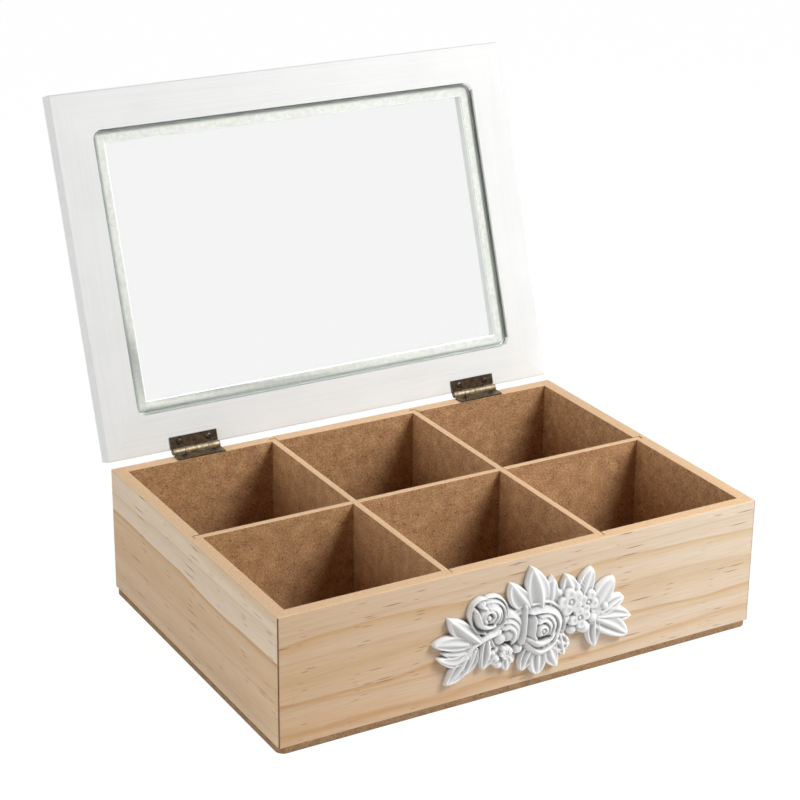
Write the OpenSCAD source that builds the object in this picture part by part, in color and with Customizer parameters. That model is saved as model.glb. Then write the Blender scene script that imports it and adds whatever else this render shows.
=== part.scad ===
// Hinged box with six compartments for tea bags, a glazed lid and a cast rose applique.
// Origin: middle of the base board's underside. +X runs along the front, -Y faces the user, +Z is up.

/* [Box] */
// Outside width of the box, left to right
box_w = 240; // [200:1:320]
// Outside depth of the box, front to back
box_d = 170; // [140:1:240]
// Height of the walls above the base board
wall_h = 60; // [50:1:90]
// Thickness of a wall board without its veneer
board_t = 5.4; // [5:0.1:7]
// Thickness of the pine veneer on the outer faces
veneer_t = 0.6; // [0.4:0.1:1]
// Thickness of the base board
base_t = 3; // [2:0.5:5]
// Radius of the base board's upright corners
base_r = 4; // [1:0.5:5]

/* [Dividers] */
// Thickness of the divider boards
divider_t = 3; // [2:0.25:4]
// Distance from the walls' tops down to the dividers' tops
divider_drop = 0.2; // [0:0.1:2]
// Depth of the slots that hold the dividers' ends
slot_deep = 3.6; // [2:0.2:4]
// Clearance on each side of a divider in a slot or halving joint
slot_side = 0.1; // [0.05:0.05:0.3]
// Gap between a divider's end and the bottom of its slot
slot_end = 0.5; // [0.1:0.1:1]

/* [Lid] */
// Thickness of the lid frame
lid_t = 8.5; // [7:0.5:14]
// Width of the frame from its outer edge to the glass rebate
rail_w = 18.3; // [15:0.1:28]
// Width of the ledge that carries the glass
ledge_w = 6.2; // [4:0.1:9]
// Depth of the glass rebate, cut from the underside
rebate_deep = 4; // [3.5:0.1:5]
// Corner radius that the cutter leaves in the rebate
rebate_r = 4.5; // [3:0.5:6]
// Chamfer on the frame's outer edges
lid_chamfer = 0.6; // [0.2:0.1:1]
// Thickness of the glass
glass_t = 2; // [1.5:0.1:2.4]
// Gap between the glass and the rebate's wall
glass_gap = 0.8; // [0.4:0.1:1.5]
// Thickness of the glazing bead under the glass
bead_t = 0.5; // [0.3:0.1:1]
// Margin between the bead and the edges of its ledge
bead_inset = 0.4; // [0.2:0.1:1]
// Opening angle at which the lid leans back on its stop
open_angle = 108.6; // [90:0.1:115]

/* [Hinges] */
// Length of a hinge along its pin
hinge_w = 24; // [18:1:32]
// Distance from the box's end to the middle of the hinge beside it
hinge_inset = 43.5; // [35:0.5:70]
// Distance that the pin stands behind the box's rear face
pin_behind = 1; // [0.5:0.1:1.4]
// Reach of a leaf from the pin's axis
leaf_l = 7; // [6.5:0.1:9]
// Thickness of a leaf
leaf_t = 0.7; // [0.5:0.05:0.8]
// Outer radius of the rolled knuckles
knuckle_r = 1.5; // [1.4:0.05:2]
// Gap between neighbouring knuckles
knuckle_gap = 0.2; // [0.1:0.05:0.4]
// Clearance between a knuckle and the wood or leaf that it turns past
knuckle_clear = 0.05; // [0.03:0.01:0.2]
// Radius of the hinge pin
pin_r = 0.75; // [0.6:0.05:0.9]
// Running clearance of the pin in the lid leaf's knuckles
pin_run = 0.05; // [0.02:0.01:0.1]
// Interference of the pin in the box leaf's knuckles
pin_grip = 0.005; // [0.002:0.001:0.01]

/* [Screws] */
// Distance between a leaf's two screws
screw_pitch = 15; // [10:0.5:18]
// Distance from the pin's axis to the screws
screw_back = 4.4; // [4:0.1:4.6]
// Radius of the screw head
head_r = 1.6; // [1.3:0.05:1.8]
// Height of the screw head above the leaf
head_h = 0.65; // [0.4:0.05:0.65]
// Radius of the screw shank
shank_r = 0.9; // [0.7:0.05:1]
// Length of the shank below the head
shank_l = 6; // [4:0.5:7]
// Clearance of the shank in the leaf's hole
shank_clear = 0.2; // [0.1:0.05:0.25]
// How much smaller the pilot hole's radius is than the shank's
shank_bite = 0.05; // [0.02:0.01:0.1]
// Width of the cross recess in a screw head
recess_w = 0.45; // [0.3:0.05:0.6]

/* [Applique] */
// Width of the cast applique
applique_w = 102; // [80:1:110]
// Height of the applique's middle above the table
applique_z = 33; // [30:1:45]
// Height of the leaves' outer edges above the wall
leaf_edge_h = 2.4; // [1.5:0.1:3]
// Height that the leaves' ridges add to that
leaf_ridge_h = 1.8; // [0.5:0.1:2.5]
// Thickness of a rose petal at its lip
petal_t = 0.9; // [0.6:0.1:1.2]

/* [Hidden] */

$fn = 48;
past = 1;                                   // how far a cutter runs past the face that it cuts

// Walls
wall_t = board_t + veneer_t;
core_w = box_w - 2 * veneer_t;
core_d = box_d - 2 * veneer_t;
room_w = box_w - 2 * wall_t;
room_d = box_d - 2 * wall_t;
wall_top = base_t + wall_h;

// Dividers: three bays of one width across, two of one depth
divider_h = wall_h - divider_drop;
bay_w = (room_w - 2 * divider_t) / 3;
cross_x = (bay_w + divider_t) / 2;
divider_reach = slot_deep - slot_end;       // how far a divider's end enters its slot
slot_t = divider_t + 2 * slot_side;

// Hinge axis, and the lid's place when it is shut
axis_off = knuckle_r + knuckle_clear;       // from the axis to the box's top, and to the lid's underside
axis_y = box_d / 2 + pin_behind;
axis_z = wall_top + axis_off;
lid_z = axis_z + axis_off;
hinge_x = box_w / 2 - hinge_inset;
knuckle_w = hinge_w / 4;
notch = knuckle_r + knuckle_gap;            // a leaf is cut back this far where it has no knuckle

// Lid openings
rebate_w = box_w - 2 * rail_w;
rebate_d = box_d - 2 * rail_w;
sight_w = rebate_w - 2 * ledge_w;
sight_d = rebate_d - 2 * ledge_w;
glass_w = rebate_w - 2 * glass_gap;
glass_d = rebate_d - 2 * glass_gap;
glass_r = max(rebate_r - glass_gap, 0.5);
ledge_z = lid_z + rebate_deep;
glass_z = ledge_z - bead_t - glass_t;

pine = [0.87, 0.76, 0.61];
sanded = [0.86, 0.71, 0.52];
brown_board = [0.58, 0.43, 0.29];
white_paint = [0.93, 0.93, 0.92];
bronze = [0.30, 0.25, 0.17];
casting = [0.94, 0.94, 0.94];

// ---------------------------------------------------------------- shared shapes

// A rectangle about the origin with true round corners
module rounded_rect(w, d, r) {
    square([w - 2 * r, d], center = true);
    square([w, d - 2 * r], center = true);
    for (sx = [-1, 1], sy = [-1, 1])
        translate([sx * (w / 2 - r), sy * (d / 2 - r)]) circle(r);
}

// Plan of the front member of a mitred frame, w by d outside and t wide
module mitred_front(w, d, t) {
    polygon([[-w / 2, -d / 2], [w / 2, -d / 2], [w / 2 - t, -d / 2 + t], [-w / 2 + t, -d / 2 + t]]);
}

// Plan of the left member of the same frame
module mitred_left(w, d, t) {
    polygon([[-w / 2, -d / 2], [-w / 2 + t, -d / 2 + t], [-w / 2 + t, d / 2 - t], [-w / 2, d / 2]]);
}

// ---------------------------------------------------------------- box

module base_board() {
    color(brown_board) linear_extrude(base_t) rounded_rect(box_w, box_d, base_r);
}

// Slot in the front board for a cross divider, open at the top and bottom
module front_slot(x) {
    translate([x - slot_t / 2, -room_d / 2 - slot_deep, base_t - past])
        cube([slot_t, slot_deep + past, wall_h + 2 * past]);
}

// Slot in the left board for the long divider
module left_slot() {
    translate([-room_w / 2 - slot_deep, -slot_t / 2, base_t - past])
        cube([slot_deep + past, slot_t, wall_h + 2 * past]);
}

module front_board() {
    difference() {
        translate([0, 0, base_t]) linear_extrude(wall_h) mitred_front(core_w, core_d, board_t);
        for (s = [-1, 1]) front_slot(s * cross_x);
    }
}

module left_board() {
    difference() {
        translate([0, 0, base_t]) linear_extrude(wall_h) mitred_left(core_w, core_d, board_t);
        left_slot();
    }
}

module front_wall() {
    color(brown_board) front_board();
}

// The rear board is the front one turned about, with pilot holes for the hinges' screws
module rear_wall() {
    color(brown_board) difference() {
        rotate([0, 0, 180]) front_board();
        screw_places() translate([0, 0, -shank_l]) pilot_hole();
    }
}

module left_wall() {
    color(brown_board) left_board();
}

module right_wall() {
    color(brown_board) rotate([0, 0, 180]) left_board();
}

module front_skin() {
    translate([0, 0, base_t]) linear_extrude(wall_h) mitred_front(box_w, box_d, veneer_t);
}

module left_skin() {
    translate([0, 0, base_t]) linear_extrude(wall_h) mitred_left(box_w, box_d, veneer_t);
}

module front_veneer() {
    color(pine) front_skin();
}

module rear_veneer() {
    color(pine) rotate([0, 0, 180]) front_skin();
}

module left_veneer() {
    color(pine) left_skin();
}

module right_veneer() {
    color(pine) rotate([0, 0, 180]) left_skin();
}

// ---------------------------------------------------------------- dividers

// The long divider is halved from above, where the cross dividers drop over it
module long_divider() {
    length = room_w + 2 * divider_reach;
    color(sanded) difference() {
        translate([-length / 2, -divider_t / 2, base_t]) cube([length, divider_t, divider_h]);
        for (s = [-1, 1])
            translate([s * cross_x - slot_t / 2, -divider_t / 2 - past, base_t + divider_h / 2])
                cube([slot_t, divider_t + 2 * past, divider_h / 2 + past]);
    }
}

// A cross divider is halved from below
module cross_divider() {
    length = room_d + 2 * divider_reach;
    difference() {
        translate([-divider_t / 2, -length / 2, base_t]) cube([divider_t, length, divider_h]);
        translate([-divider_t / 2 - past, -slot_t / 2, base_t - past])
            cube([divider_t + 2 * past, slot_t, divider_h / 2 + past]);
    }
}

module left_cross_divider() {
    color(sanded) translate([-cross_x, 0, 0]) cross_divider();
}

module right_cross_divider() {
    color(sanded) translate([cross_x, 0, 0]) cross_divider();
}

// ---------------------------------------------------------------- lid

// Swings a piece of the shut lid up about the hinge axis, to the angle at which it rests
module opened() {
    translate([0, axis_y, axis_z]) rotate([-open_angle, 0, 0]) translate([0, -axis_y, -axis_z])
        children();
}

// The pocket that the cutter leaves for the glass, rounded at its corners
module rebate_pocket() {
    translate([0, 0, lid_z - past]) linear_extrude(rebate_deep + past)
        rounded_rect(rebate_w, rebate_d, rebate_r);
}

// Chamfer cutter along an edge through the origin, running along X
module edge_cutter(length) {
    rotate([45, 0, 0]) cube([length, lid_chamfer * sqrt(2), lid_chamfer * sqrt(2)], center = true);
}

module front_rail() {
    difference() {
        translate([0, 0, lid_z]) linear_extrude(lid_t) mitred_front(box_w, box_d, rail_w + ledge_w);
        rebate_pocket();
        for (z = [lid_z, lid_z + lid_t])
            translate([0, -box_d / 2, z]) edge_cutter(box_w + 2 * past);
    }
}

module left_stile() {
    difference() {
        translate([0, 0, lid_z]) linear_extrude(lid_t) mitred_left(box_w, box_d, rail_w + ledge_w);
        rebate_pocket();
        for (z = [lid_z, lid_z + lid_t])
            translate([-box_w / 2, 0, z]) rotate([0, 0, 90]) edge_cutter(box_d + 2 * past);
    }
}

module lid_front_rail() {
    color(white_paint) opened() front_rail();
}

// The rear rail is the front one turned about, with pilot holes for the hinges' screws
module lid_rear_rail() {
    color(white_paint) opened() difference() {
        rotate([0, 0, 180]) front_rail();
        lid_screw_places() translate([0, 0, -shank_l]) pilot_hole();
    }
}

module lid_left_stile() {
    color(white_paint) opened() left_stile();
}

module lid_right_stile() {
    color(white_paint) opened() rotate([0, 0, 180]) left_stile();
}

module glass_pane() {
    color([0.86, 0.92, 0.9, 0.4]) opened() translate([0, 0, glass_z])
        linear_extrude(glass_t) rounded_rect(glass_w, glass_d, glass_r);
}

module glazing_bead() {
    color([0.9, 0.91, 0.89]) opened() translate([0, 0, ledge_z - bead_t]) linear_extrude(bead_t)
        difference() {
            rounded_rect(glass_w - 2 * bead_inset, glass_d - 2 * bead_inset, glass_r);
            square([sight_w + 2 * bead_inset, sight_d + 2 * bead_inset], center = true);
        }
}

// ---------------------------------------------------------------- hinges

// One leaf with its two knuckles. It lies flat under the axis, which runs along X at the origin,
// and reaches towards -Y. The first knuckle from the left is at index first, and every other one follows.
module hinge_leaf(first, bore_r) {
    difference() {
        union() {
            translate([-hinge_w / 2, -leaf_l, -axis_off]) cube([hinge_w, leaf_l - notch, leaf_t]);
            for (i = [first, first + 2])
                translate([-hinge_w / 2 + i * knuckle_w, 0, 0]) knuckle(i);
        }
        for (i = [first, first + 2])
            translate([-hinge_w / 2 + i * knuckle_w - past, 0, 0]) rotate([0, 90, 0])
                cylinder(r = bore_r, h = knuckle_w + 2 * past);
        for (s = [-1, 1])
            translate([s * screw_pitch / 2, -screw_back, -axis_off - past])
                cylinder(r = shank_r + shank_clear, h = leaf_t + 2 * past);
    }
}

// A rolled knuckle and the strip that joins it to its leaf. The gap to the next one is half on each side,
// and the hinge's two ends stay flush.
module knuckle(i) {
    left_gap = i == 0 ? 0 : knuckle_gap / 2;
    right_gap = i == 3 ? 0 : knuckle_gap / 2;
    length = knuckle_w - left_gap - right_gap;
    translate([left_gap, 0, 0]) {
        rotate([0, 90, 0]) cylinder(r = knuckle_r, h = length);
        translate([0, -notch - leaf_t, -axis_off]) cube([length, notch + leaf_t, leaf_t]);
    }
}

// The box leaf lies on the rear wall; its knuckles are the second and fourth
module box_leaf(x) {
    color(bronze) translate([x, axis_y, axis_z]) hinge_leaf(1, pin_r - pin_grip);
}

// The lid leaf is the same pressing turned over on to the lid's underside, with knuckles one and three
module lid_leaf(x) {
    color(bronze) opened() translate([x, axis_y, axis_z]) mirror([0, 0, 1]) hinge_leaf(0, pin_r + pin_run);
}

module hinge_pin(x) {
    color(bronze) translate([x - hinge_w / 2, axis_y, axis_z]) rotate([0, 90, 0])
        cylinder(r = pin_r, h = hinge_w);
}

module left_hinge_box_leaf() {
    box_leaf(-hinge_x);
}

module right_hinge_box_leaf() {
    box_leaf(hinge_x);
}

module left_hinge_lid_leaf() {
    lid_leaf(-hinge_x);
}

module right_hinge_lid_leaf() {
    lid_leaf(hinge_x);
}

module left_hinge_pin() {
    hinge_pin(-hinge_x);
}

module right_hinge_pin() {
    hinge_pin(hinge_x);
}

// ---------------------------------------------------------------- screws

// Puts a piece at each of the four screw places on the box leaves, with its origin on the leaf's top
module screw_places() {
    for (h = [-1, 1], s = [-1, 1])
        translate([h * hinge_x + s * screw_pitch / 2, axis_y - screw_back, wall_top + leaf_t])
            children();
}

// The same on the lid leaves, pointing into the shut lid
module lid_screw_places() {
    for (h = [-1, 1], s = [-1, 1])
        translate([h * hinge_x + s * screw_pitch / 2, axis_y - screw_back, lid_z - leaf_t])
            mirror([0, 0, 1]) children();
}

module pilot_hole() {
    translate([0, 0, -past]) cylinder(r = shank_r - shank_bite, h = shank_l + 2 * past);
}

// Pan-head wood screw with a cross recess, its head's underside at the origin
module screw() {
    point_h = 2 * shank_r;
    difference() {
        rotate_extrude() polygon([
            [0, -shank_l], [shank_r, -shank_l + point_h], [shank_r, 0], [head_r, 0],
            [head_r, head_h * 0.45], [head_r * 0.8, head_h * 0.85], [head_r * 0.5, head_h], [0, head_h]
        ]);
        for (a = [0, 90]) rotate([0, 0, a + 45])
            translate([-head_r * 0.55, -recess_w / 2, head_h * 0.35]) cube([head_r * 1.1, recess_w, head_h]);
    }
}

module box_hinge_screws() {
    color(bronze) screw_places() screw();
}

module lid_hinge_screws() {
    color(bronze) opened() lid_screw_places() screw();
}

// ---------------------------------------------------------------- applique

// The casting is drawn flat: x to the right, y up the wall, z away from it, in a drawing 102 mm wide
// whose origin is the applique's middle.
drawing_w = 102;
steps = 5;                                  // stretches along a leaf or petal

// Closed solid through a row of rings that all have the same number of points
module loft(rings) {
    n = len(rings[0]);
    m = len(rings);
    sides = [for (i = [0:m - 2], j = [0:n - 1]) let (k = (j + 1) % n)
        each [[i * n + j, (i + 1) * n + k, i * n + k], [i * n + j, (i + 1) * n + j, (i + 1) * n + k]]];
    ends = [[for (j = [0:n - 1]) j], [for (j = [n - 1:-1:0]) (m - 1) * n + j]];
    polyhedron([for (r = rings) each r], concat(sides, ends));
}

// Point at s from 0 to 1 on a curve from a to b that bows sideways by bow
function spine(a, b, bow, s) = let (d = b - a, side = [-d[1], d[0]] / norm(d))
    a + d * s + side * bow * 4 * s * (1 - s);

function unit(v) = v / norm(v);

// Share of its full width that a leaf has at s: open at the base, full before the middle, pointed at the tip
function leaf_share(s) = pow(sin(180 * (0.16 + 0.835 * s)), 0.8);

// One station across a leaf: straight sides up from the wall, two cheeks and a raised ridge
function leaf_ring(a, b, w, bow, lift, s) =
    let (
        p = spine(a, b, bow, s),
        t = unit(spine(a, b, bow, s + 0.01) - spine(a, b, bow, s - 0.01)),
        n = [-t[1], t[0]],
        half = w / 2 * leaf_share(s),
        edge = leaf_edge_h + lift - 0.6 * s,
        ridge = edge + leaf_ridge_h * sin(180 * (0.2 + 0.75 * s)),
        dip = edge + 0.25 * (ridge - edge),
        across = [[1.06, -past], [1, edge], [0.45, dip], [0, ridge], [-0.45, dip], [-1, edge], [-1.06, -past]]
    )
    [for (q = across) [p[0] + n[0] * half * q[0], p[1] + n[1] * half * q[0], q[1]]];

// Leaf from point a to point b, w wide, bowed sideways and lifted off the wall
module leaf(a, b, w, bow = 0, lift = 0) {
    loft([for (i = [0:steps]) leaf_ring(a, b, w, bow, lift, i / steps)]);
}

// One station of a rose petal: an upright wall that leans out to a rolled lip
function petal_ring(r, lean, h, angle) =
    let (
        lip = r + lean,
        outline = [
            [r - petal_t, -past], [lip - petal_t, h], [lip, h + 0.2], [lip + petal_t / 3, h - 0.5], [r, -past]
        ]
    )
    [for (q = outline) [q[0] * cos(angle), q[0] * sin(angle), q[1]]];

// Petal that wraps a rose's axis from angle a over the span, opening outwards at its middle
module petal(r, lean, h, a, span) {
    loft([for (i = [0:steps]) let (s = i / steps, swell = pow(sin(180 * (0.06 + 0.88 * s)), 0.6))
        petal_ring(r * (0.84 + 0.16 * s), lean * swell, h * (0.72 + 0.28 * swell), a + span * s)]);
}

// Open rose of radius r and height h: a dome with turns of overlapping petals round a bud
module rose(r, h, turn) {
    rotate([0, 0, turn]) {
        rotate([0, 0, 7]) rotate_extrude($fn = 19)
            polygon([[0, -past], [0.93 * r, -past], [0.93 * r, 0.3 * h], [0.6 * r, 0.55 * h], [0, 0.72 * h]]);
        for (i = [0:4]) petal(0.82 * r, 0.15 * r, (0.5 + 0.02 * i) * h, 71 * i, 93 - 2 * i);
        for (i = [0:2]) petal(0.57 * r, 0.13 * r, (0.74 + 0.02 * i) * h, 118 * i + 33, 147 - 3 * i);
        petal(0.39 * r, 0.08 * r, 0.92 * h, 73, 211);
        petal(0.25 * r, 0.05 * r, 0.86 * h, 253, 187);
        petal(0.13 * r, 0.03 * r, 0.97 * h, 21, 256);
    }
}

// Half-open rose with three outer petals and a tight bud
module rosebud(r, h, turn) {
    rotate([0, 0, turn]) {
        rotate([0, 0, 9]) translate([0, 0, -past])
            cylinder(r1 = 0.9 * r, r2 = 0.4 * r, h = 0.7 * h + past, $fn = 12);
        for (i = [0:2]) petal(0.7 * r, 0.2 * r, (0.68 + 0.02 * i) * h, 118 * i, 151 - 4 * i);
        petal(0.36 * r, 0.06 * r, 0.95 * h, 41, 287);
    }
}

// Five-petalled blossom of radius r, its petals cupped round a raised eye
module blossom(r, h, turn) {
    for (i = [0:4]) rotate([0, 0, turn + 72 * i]) hull() {
        translate([0.62 * r, 0, 0.75 * h]) rotate([0, 9, 11]) scale([1, 1.15, 0.7]) sphere(0.38 * r, $fn = 6);
        translate([0.3 * r, 0, -past]) cylinder(r = 0.25 * r, h = past + (0.45 + 0.03 * i) * h, $fn = 6);
    }
    translate([0, 0, 0.6 * h]) sphere(0.22 * r, $fn = 8);
}

// Round berry that sits in the wall's face
module berry(p, r, h) {
    hull() {
        translate([p[0], p[1], h - r]) sphere(r, $fn = 8);
        translate([p[0], p[1], -past]) cylinder(r = 0.8 * r, h = past / 2, $fn = 8);
    }
}

module left_spray() {
    leaf([-25.6, -1.2], [-42.5, 11.5], 9, 1.5, 0.5);
    leaf([-33, -1], [-50, 1.8], 7, -1);
    leaf([-32, -6], [-47.8, -5], 6, 3);
    leaf([-34, -8], [-42.6, -19.5], 7.5, 1.5);
    leaf([-27, -5], [-34.5, -16.8], 6.5, 1.5);
    leaf([-20.5, -3], [-24.8, -16.5], 8, 2);
    leaf([-13, 1.5], [-37, -11], 3, -1, 1.2);
}

module right_spray() {
    leaf([35, -2], [47, 1.8], 7, 1);
    leaf([32.6, -5.2], [52, -9.2], 8, 0.5, 0.6);
    leaf([36, -8], [50, -18.6], 8, 1);
    leaf([30, -6], [33, -19.8], 7.5, -1, 0.4);
    leaf([25, -2.5], [40, -7], 4, -0.5);
}

module upper_leaves() {
    leaf([-3, 6], [-12.3, 21.8], 10, 1);
    leaf([3, 6], [-1.5, 27], 12.5, 0, 0.6);
    leaf([7, 6], [8.8, 20.4], 9, -0.5);
    leaf([19.5, 6], [15.8, 19.6], 9.5, -0.5);
    leaf([23, 5], [29.6, 19.8], 9.5, 0.5);
    leaf([30.2, 3.3], [40.8, 12.8], 10.5, 0.5);
}

module lower_leaves() {
    leaf([0, -10], [-4.6, -22], 7, 0);
    leaf([3.5, -12], [3.4, -26], 9, 0, 0.4);
    leaf([8, -12], [13.6, -24.5], 6.5, -0.5);
    leaf([13.5, -8], [16.8, -20], 6, -0.4);
    leaf([14, -5], [20, -15.2], 8, -1);
}

module blossoms() {
    translate([19.5, 4.5]) blossom(5.2, 6, 20);
    translate([28, 3]) blossom(4.8, 5.5, 50);
    translate([24.2, -3]) blossom(4.4, 5.5, 5);
    translate([-12.4, -12.5]) blossom(5, 5, 18);
    berry([-6.4, -11.6], 2.9, 4.4);
    translate([-12, -0.5]) rosebud(5.5, 6, 123);
    berry([21, -7.5], 3, 5);
    berry([26.8, -8.8], 3.1, 5);
    berry([16.5, 0.5], 2.8, 4.6);
    berry([14.5, 8.5], 2.2, 3.6);
    berry([-15, -5.5], 2.8, 4.4);
    berry([-16.4, -15.6], 2.3, 3.6);
    leaf([-11.6, -14], [-11.4, -21.5], 5.5, 0.3);
    leaf([-10, 2], [-3.5, 3], 7, -1, 0.4);
}

module rose_applique() {
    k = applique_w / drawing_w;
    color(casting) intersection() {
        translate([0, -box_d / 2, applique_z]) rotate([90, 0, 0]) scale(k) union() {
            left_spray();
            right_spray();
            upper_leaves();
            lower_leaves();
            blossoms();
            translate([-23, 9.6]) rose(10.9, 8, 15);
            translate([4.6, -3.2]) rose(12.2, 9, 70);
        }
        translate([-box_w, -2 * box_d - box_d / 2, 0]) cube([2 * box_w, 2 * box_d, 2 * wall_top]);
    }
}

base_board();
front_wall();
rear_wall();
left_wall();
right_wall();
front_veneer();
rear_veneer();
left_veneer();
right_veneer();
long_divider();
left_cross_divider();
right_cross_divider();
rose_applique();
lid_front_rail();
lid_rear_rail();
lid_left_stile();
lid_right_stile();
glass_pane();
glazing_bead();
left_hinge_box_leaf();
right_hinge_box_leaf();
left_hinge_lid_leaf();
right_hinge_lid_leaf();
left_hinge_pin();
right_hinge_pin();
box_hinge_screws();
lid_hinge_screws();
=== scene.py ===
"""Dresses a tea bag box: six compartments, a hinged glazed lid and a cast rose applique on the front.

Lengths are in millimetres and angles in degrees, unless a name or comment says otherwise; MM turns them into
metres where they meet the frame. +X runs along the front, -Y faces the user, +Z is up.
"""

from __future__ import annotations

import logging
import math
from collections.abc import Callable, Sequence
from dataclasses import dataclass, field, fields
from enum import Enum
from typing import Any

import bmesh
import bpy
import numpy as np
from mathutils import Matrix, Vector

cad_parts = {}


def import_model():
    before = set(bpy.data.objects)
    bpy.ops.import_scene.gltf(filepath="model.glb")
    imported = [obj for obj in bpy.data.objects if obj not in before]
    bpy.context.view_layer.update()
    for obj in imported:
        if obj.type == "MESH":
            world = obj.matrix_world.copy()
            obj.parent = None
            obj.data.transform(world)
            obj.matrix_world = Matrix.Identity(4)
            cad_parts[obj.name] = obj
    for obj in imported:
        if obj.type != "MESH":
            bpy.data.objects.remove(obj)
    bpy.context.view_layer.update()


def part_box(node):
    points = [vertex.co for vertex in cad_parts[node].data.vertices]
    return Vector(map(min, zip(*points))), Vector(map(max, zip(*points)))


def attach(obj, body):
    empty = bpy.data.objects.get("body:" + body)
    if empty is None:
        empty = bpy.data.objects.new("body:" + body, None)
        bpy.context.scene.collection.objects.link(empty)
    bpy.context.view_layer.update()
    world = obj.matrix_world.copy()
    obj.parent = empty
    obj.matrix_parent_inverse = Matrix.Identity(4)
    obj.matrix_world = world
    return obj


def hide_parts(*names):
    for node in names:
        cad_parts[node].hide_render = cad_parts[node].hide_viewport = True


log = logging.getLogger("tea_box")

Socket = bpy.types.NodeSocket
Inputs = dict[str | int, Any]  # what a node's inputs take, by name or index
Triple = tuple[float, float, float]

MM = 0.001
OPEN_ANGLE = 108.6  # how far the lid leans back from its shut place
HINGE = Vector((0.0, 86.0, 64.55))  # a point of the hinges' axis, which runs along X
SWING = Matrix.Rotation(math.radians(-OPEN_ANGLE), 3, "X")  # from the shut lid to the open one

WHITE = (1.0, 1.0, 1.0, 1.0)

WELD = 1e-6  # metres; vertices nearer than this are one
FLAT = math.radians(0.5)  # faces that turn less than this are one flat face
ARRIS = math.radians(25)  # an edge that turns more than this is an arris


# ---------------------------------------------------------------- shared helpers


def linear(hex_colour: str) -> tuple[float, float, float, float]:
    """Turns an sRGB colour into the linear one that shaders take.

    Args:
        hex_colour: six hexadecimal digits, red first.

    Returns:
        Linear red, green, blue and an alpha of 1.
    """
    channels = [int(hex_colour[i : i + 2], 16) / 255 for i in (0, 2, 4)]
    turned = [c / 12.92 if c <= 0.04045 else ((c + 0.055) / 1.055) ** 2.4 for c in channels]
    return (*turned, 1.0)


def add(
    tree: bpy.types.NodeTree,
    kind: str,
    inputs: Inputs | None = None,
    stops: Sequence[tuple[float, str]] = (),
    **settings: Any,
) -> bpy.types.Node:
    """Adds one node to a tree.

    Args:
        tree: the tree that the node goes into.
        kind: the node's type name.
        inputs: what each input takes, by name or index: a number, a tuple, a data block, another node's output or
            a list of outputs that all go into it.
        stops: for a colour ramp, the place and the sRGB hex colour of each stop.
        **settings: the node's own settings.

    Returns:
        The node.
    """
    made = tree.nodes.new(kind)
    for name, value in settings.items():
        setattr(made, name, value)
    if stops:
        ramp = made.color_ramp.elements
        while len(ramp) < len(stops):
            ramp.new(0.5)
        for element, (place, colour) in zip(ramp, stops):
            element.position = place
            element.color = linear(colour)
    for key, value in (inputs or {}).items():
        for source in (value if isinstance(value, list) else [value]):
            if isinstance(source, Socket):
                tree.links.new(source, made.inputs[key])
            else:
                made.inputs[key].default_value = source
    return made


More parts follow.
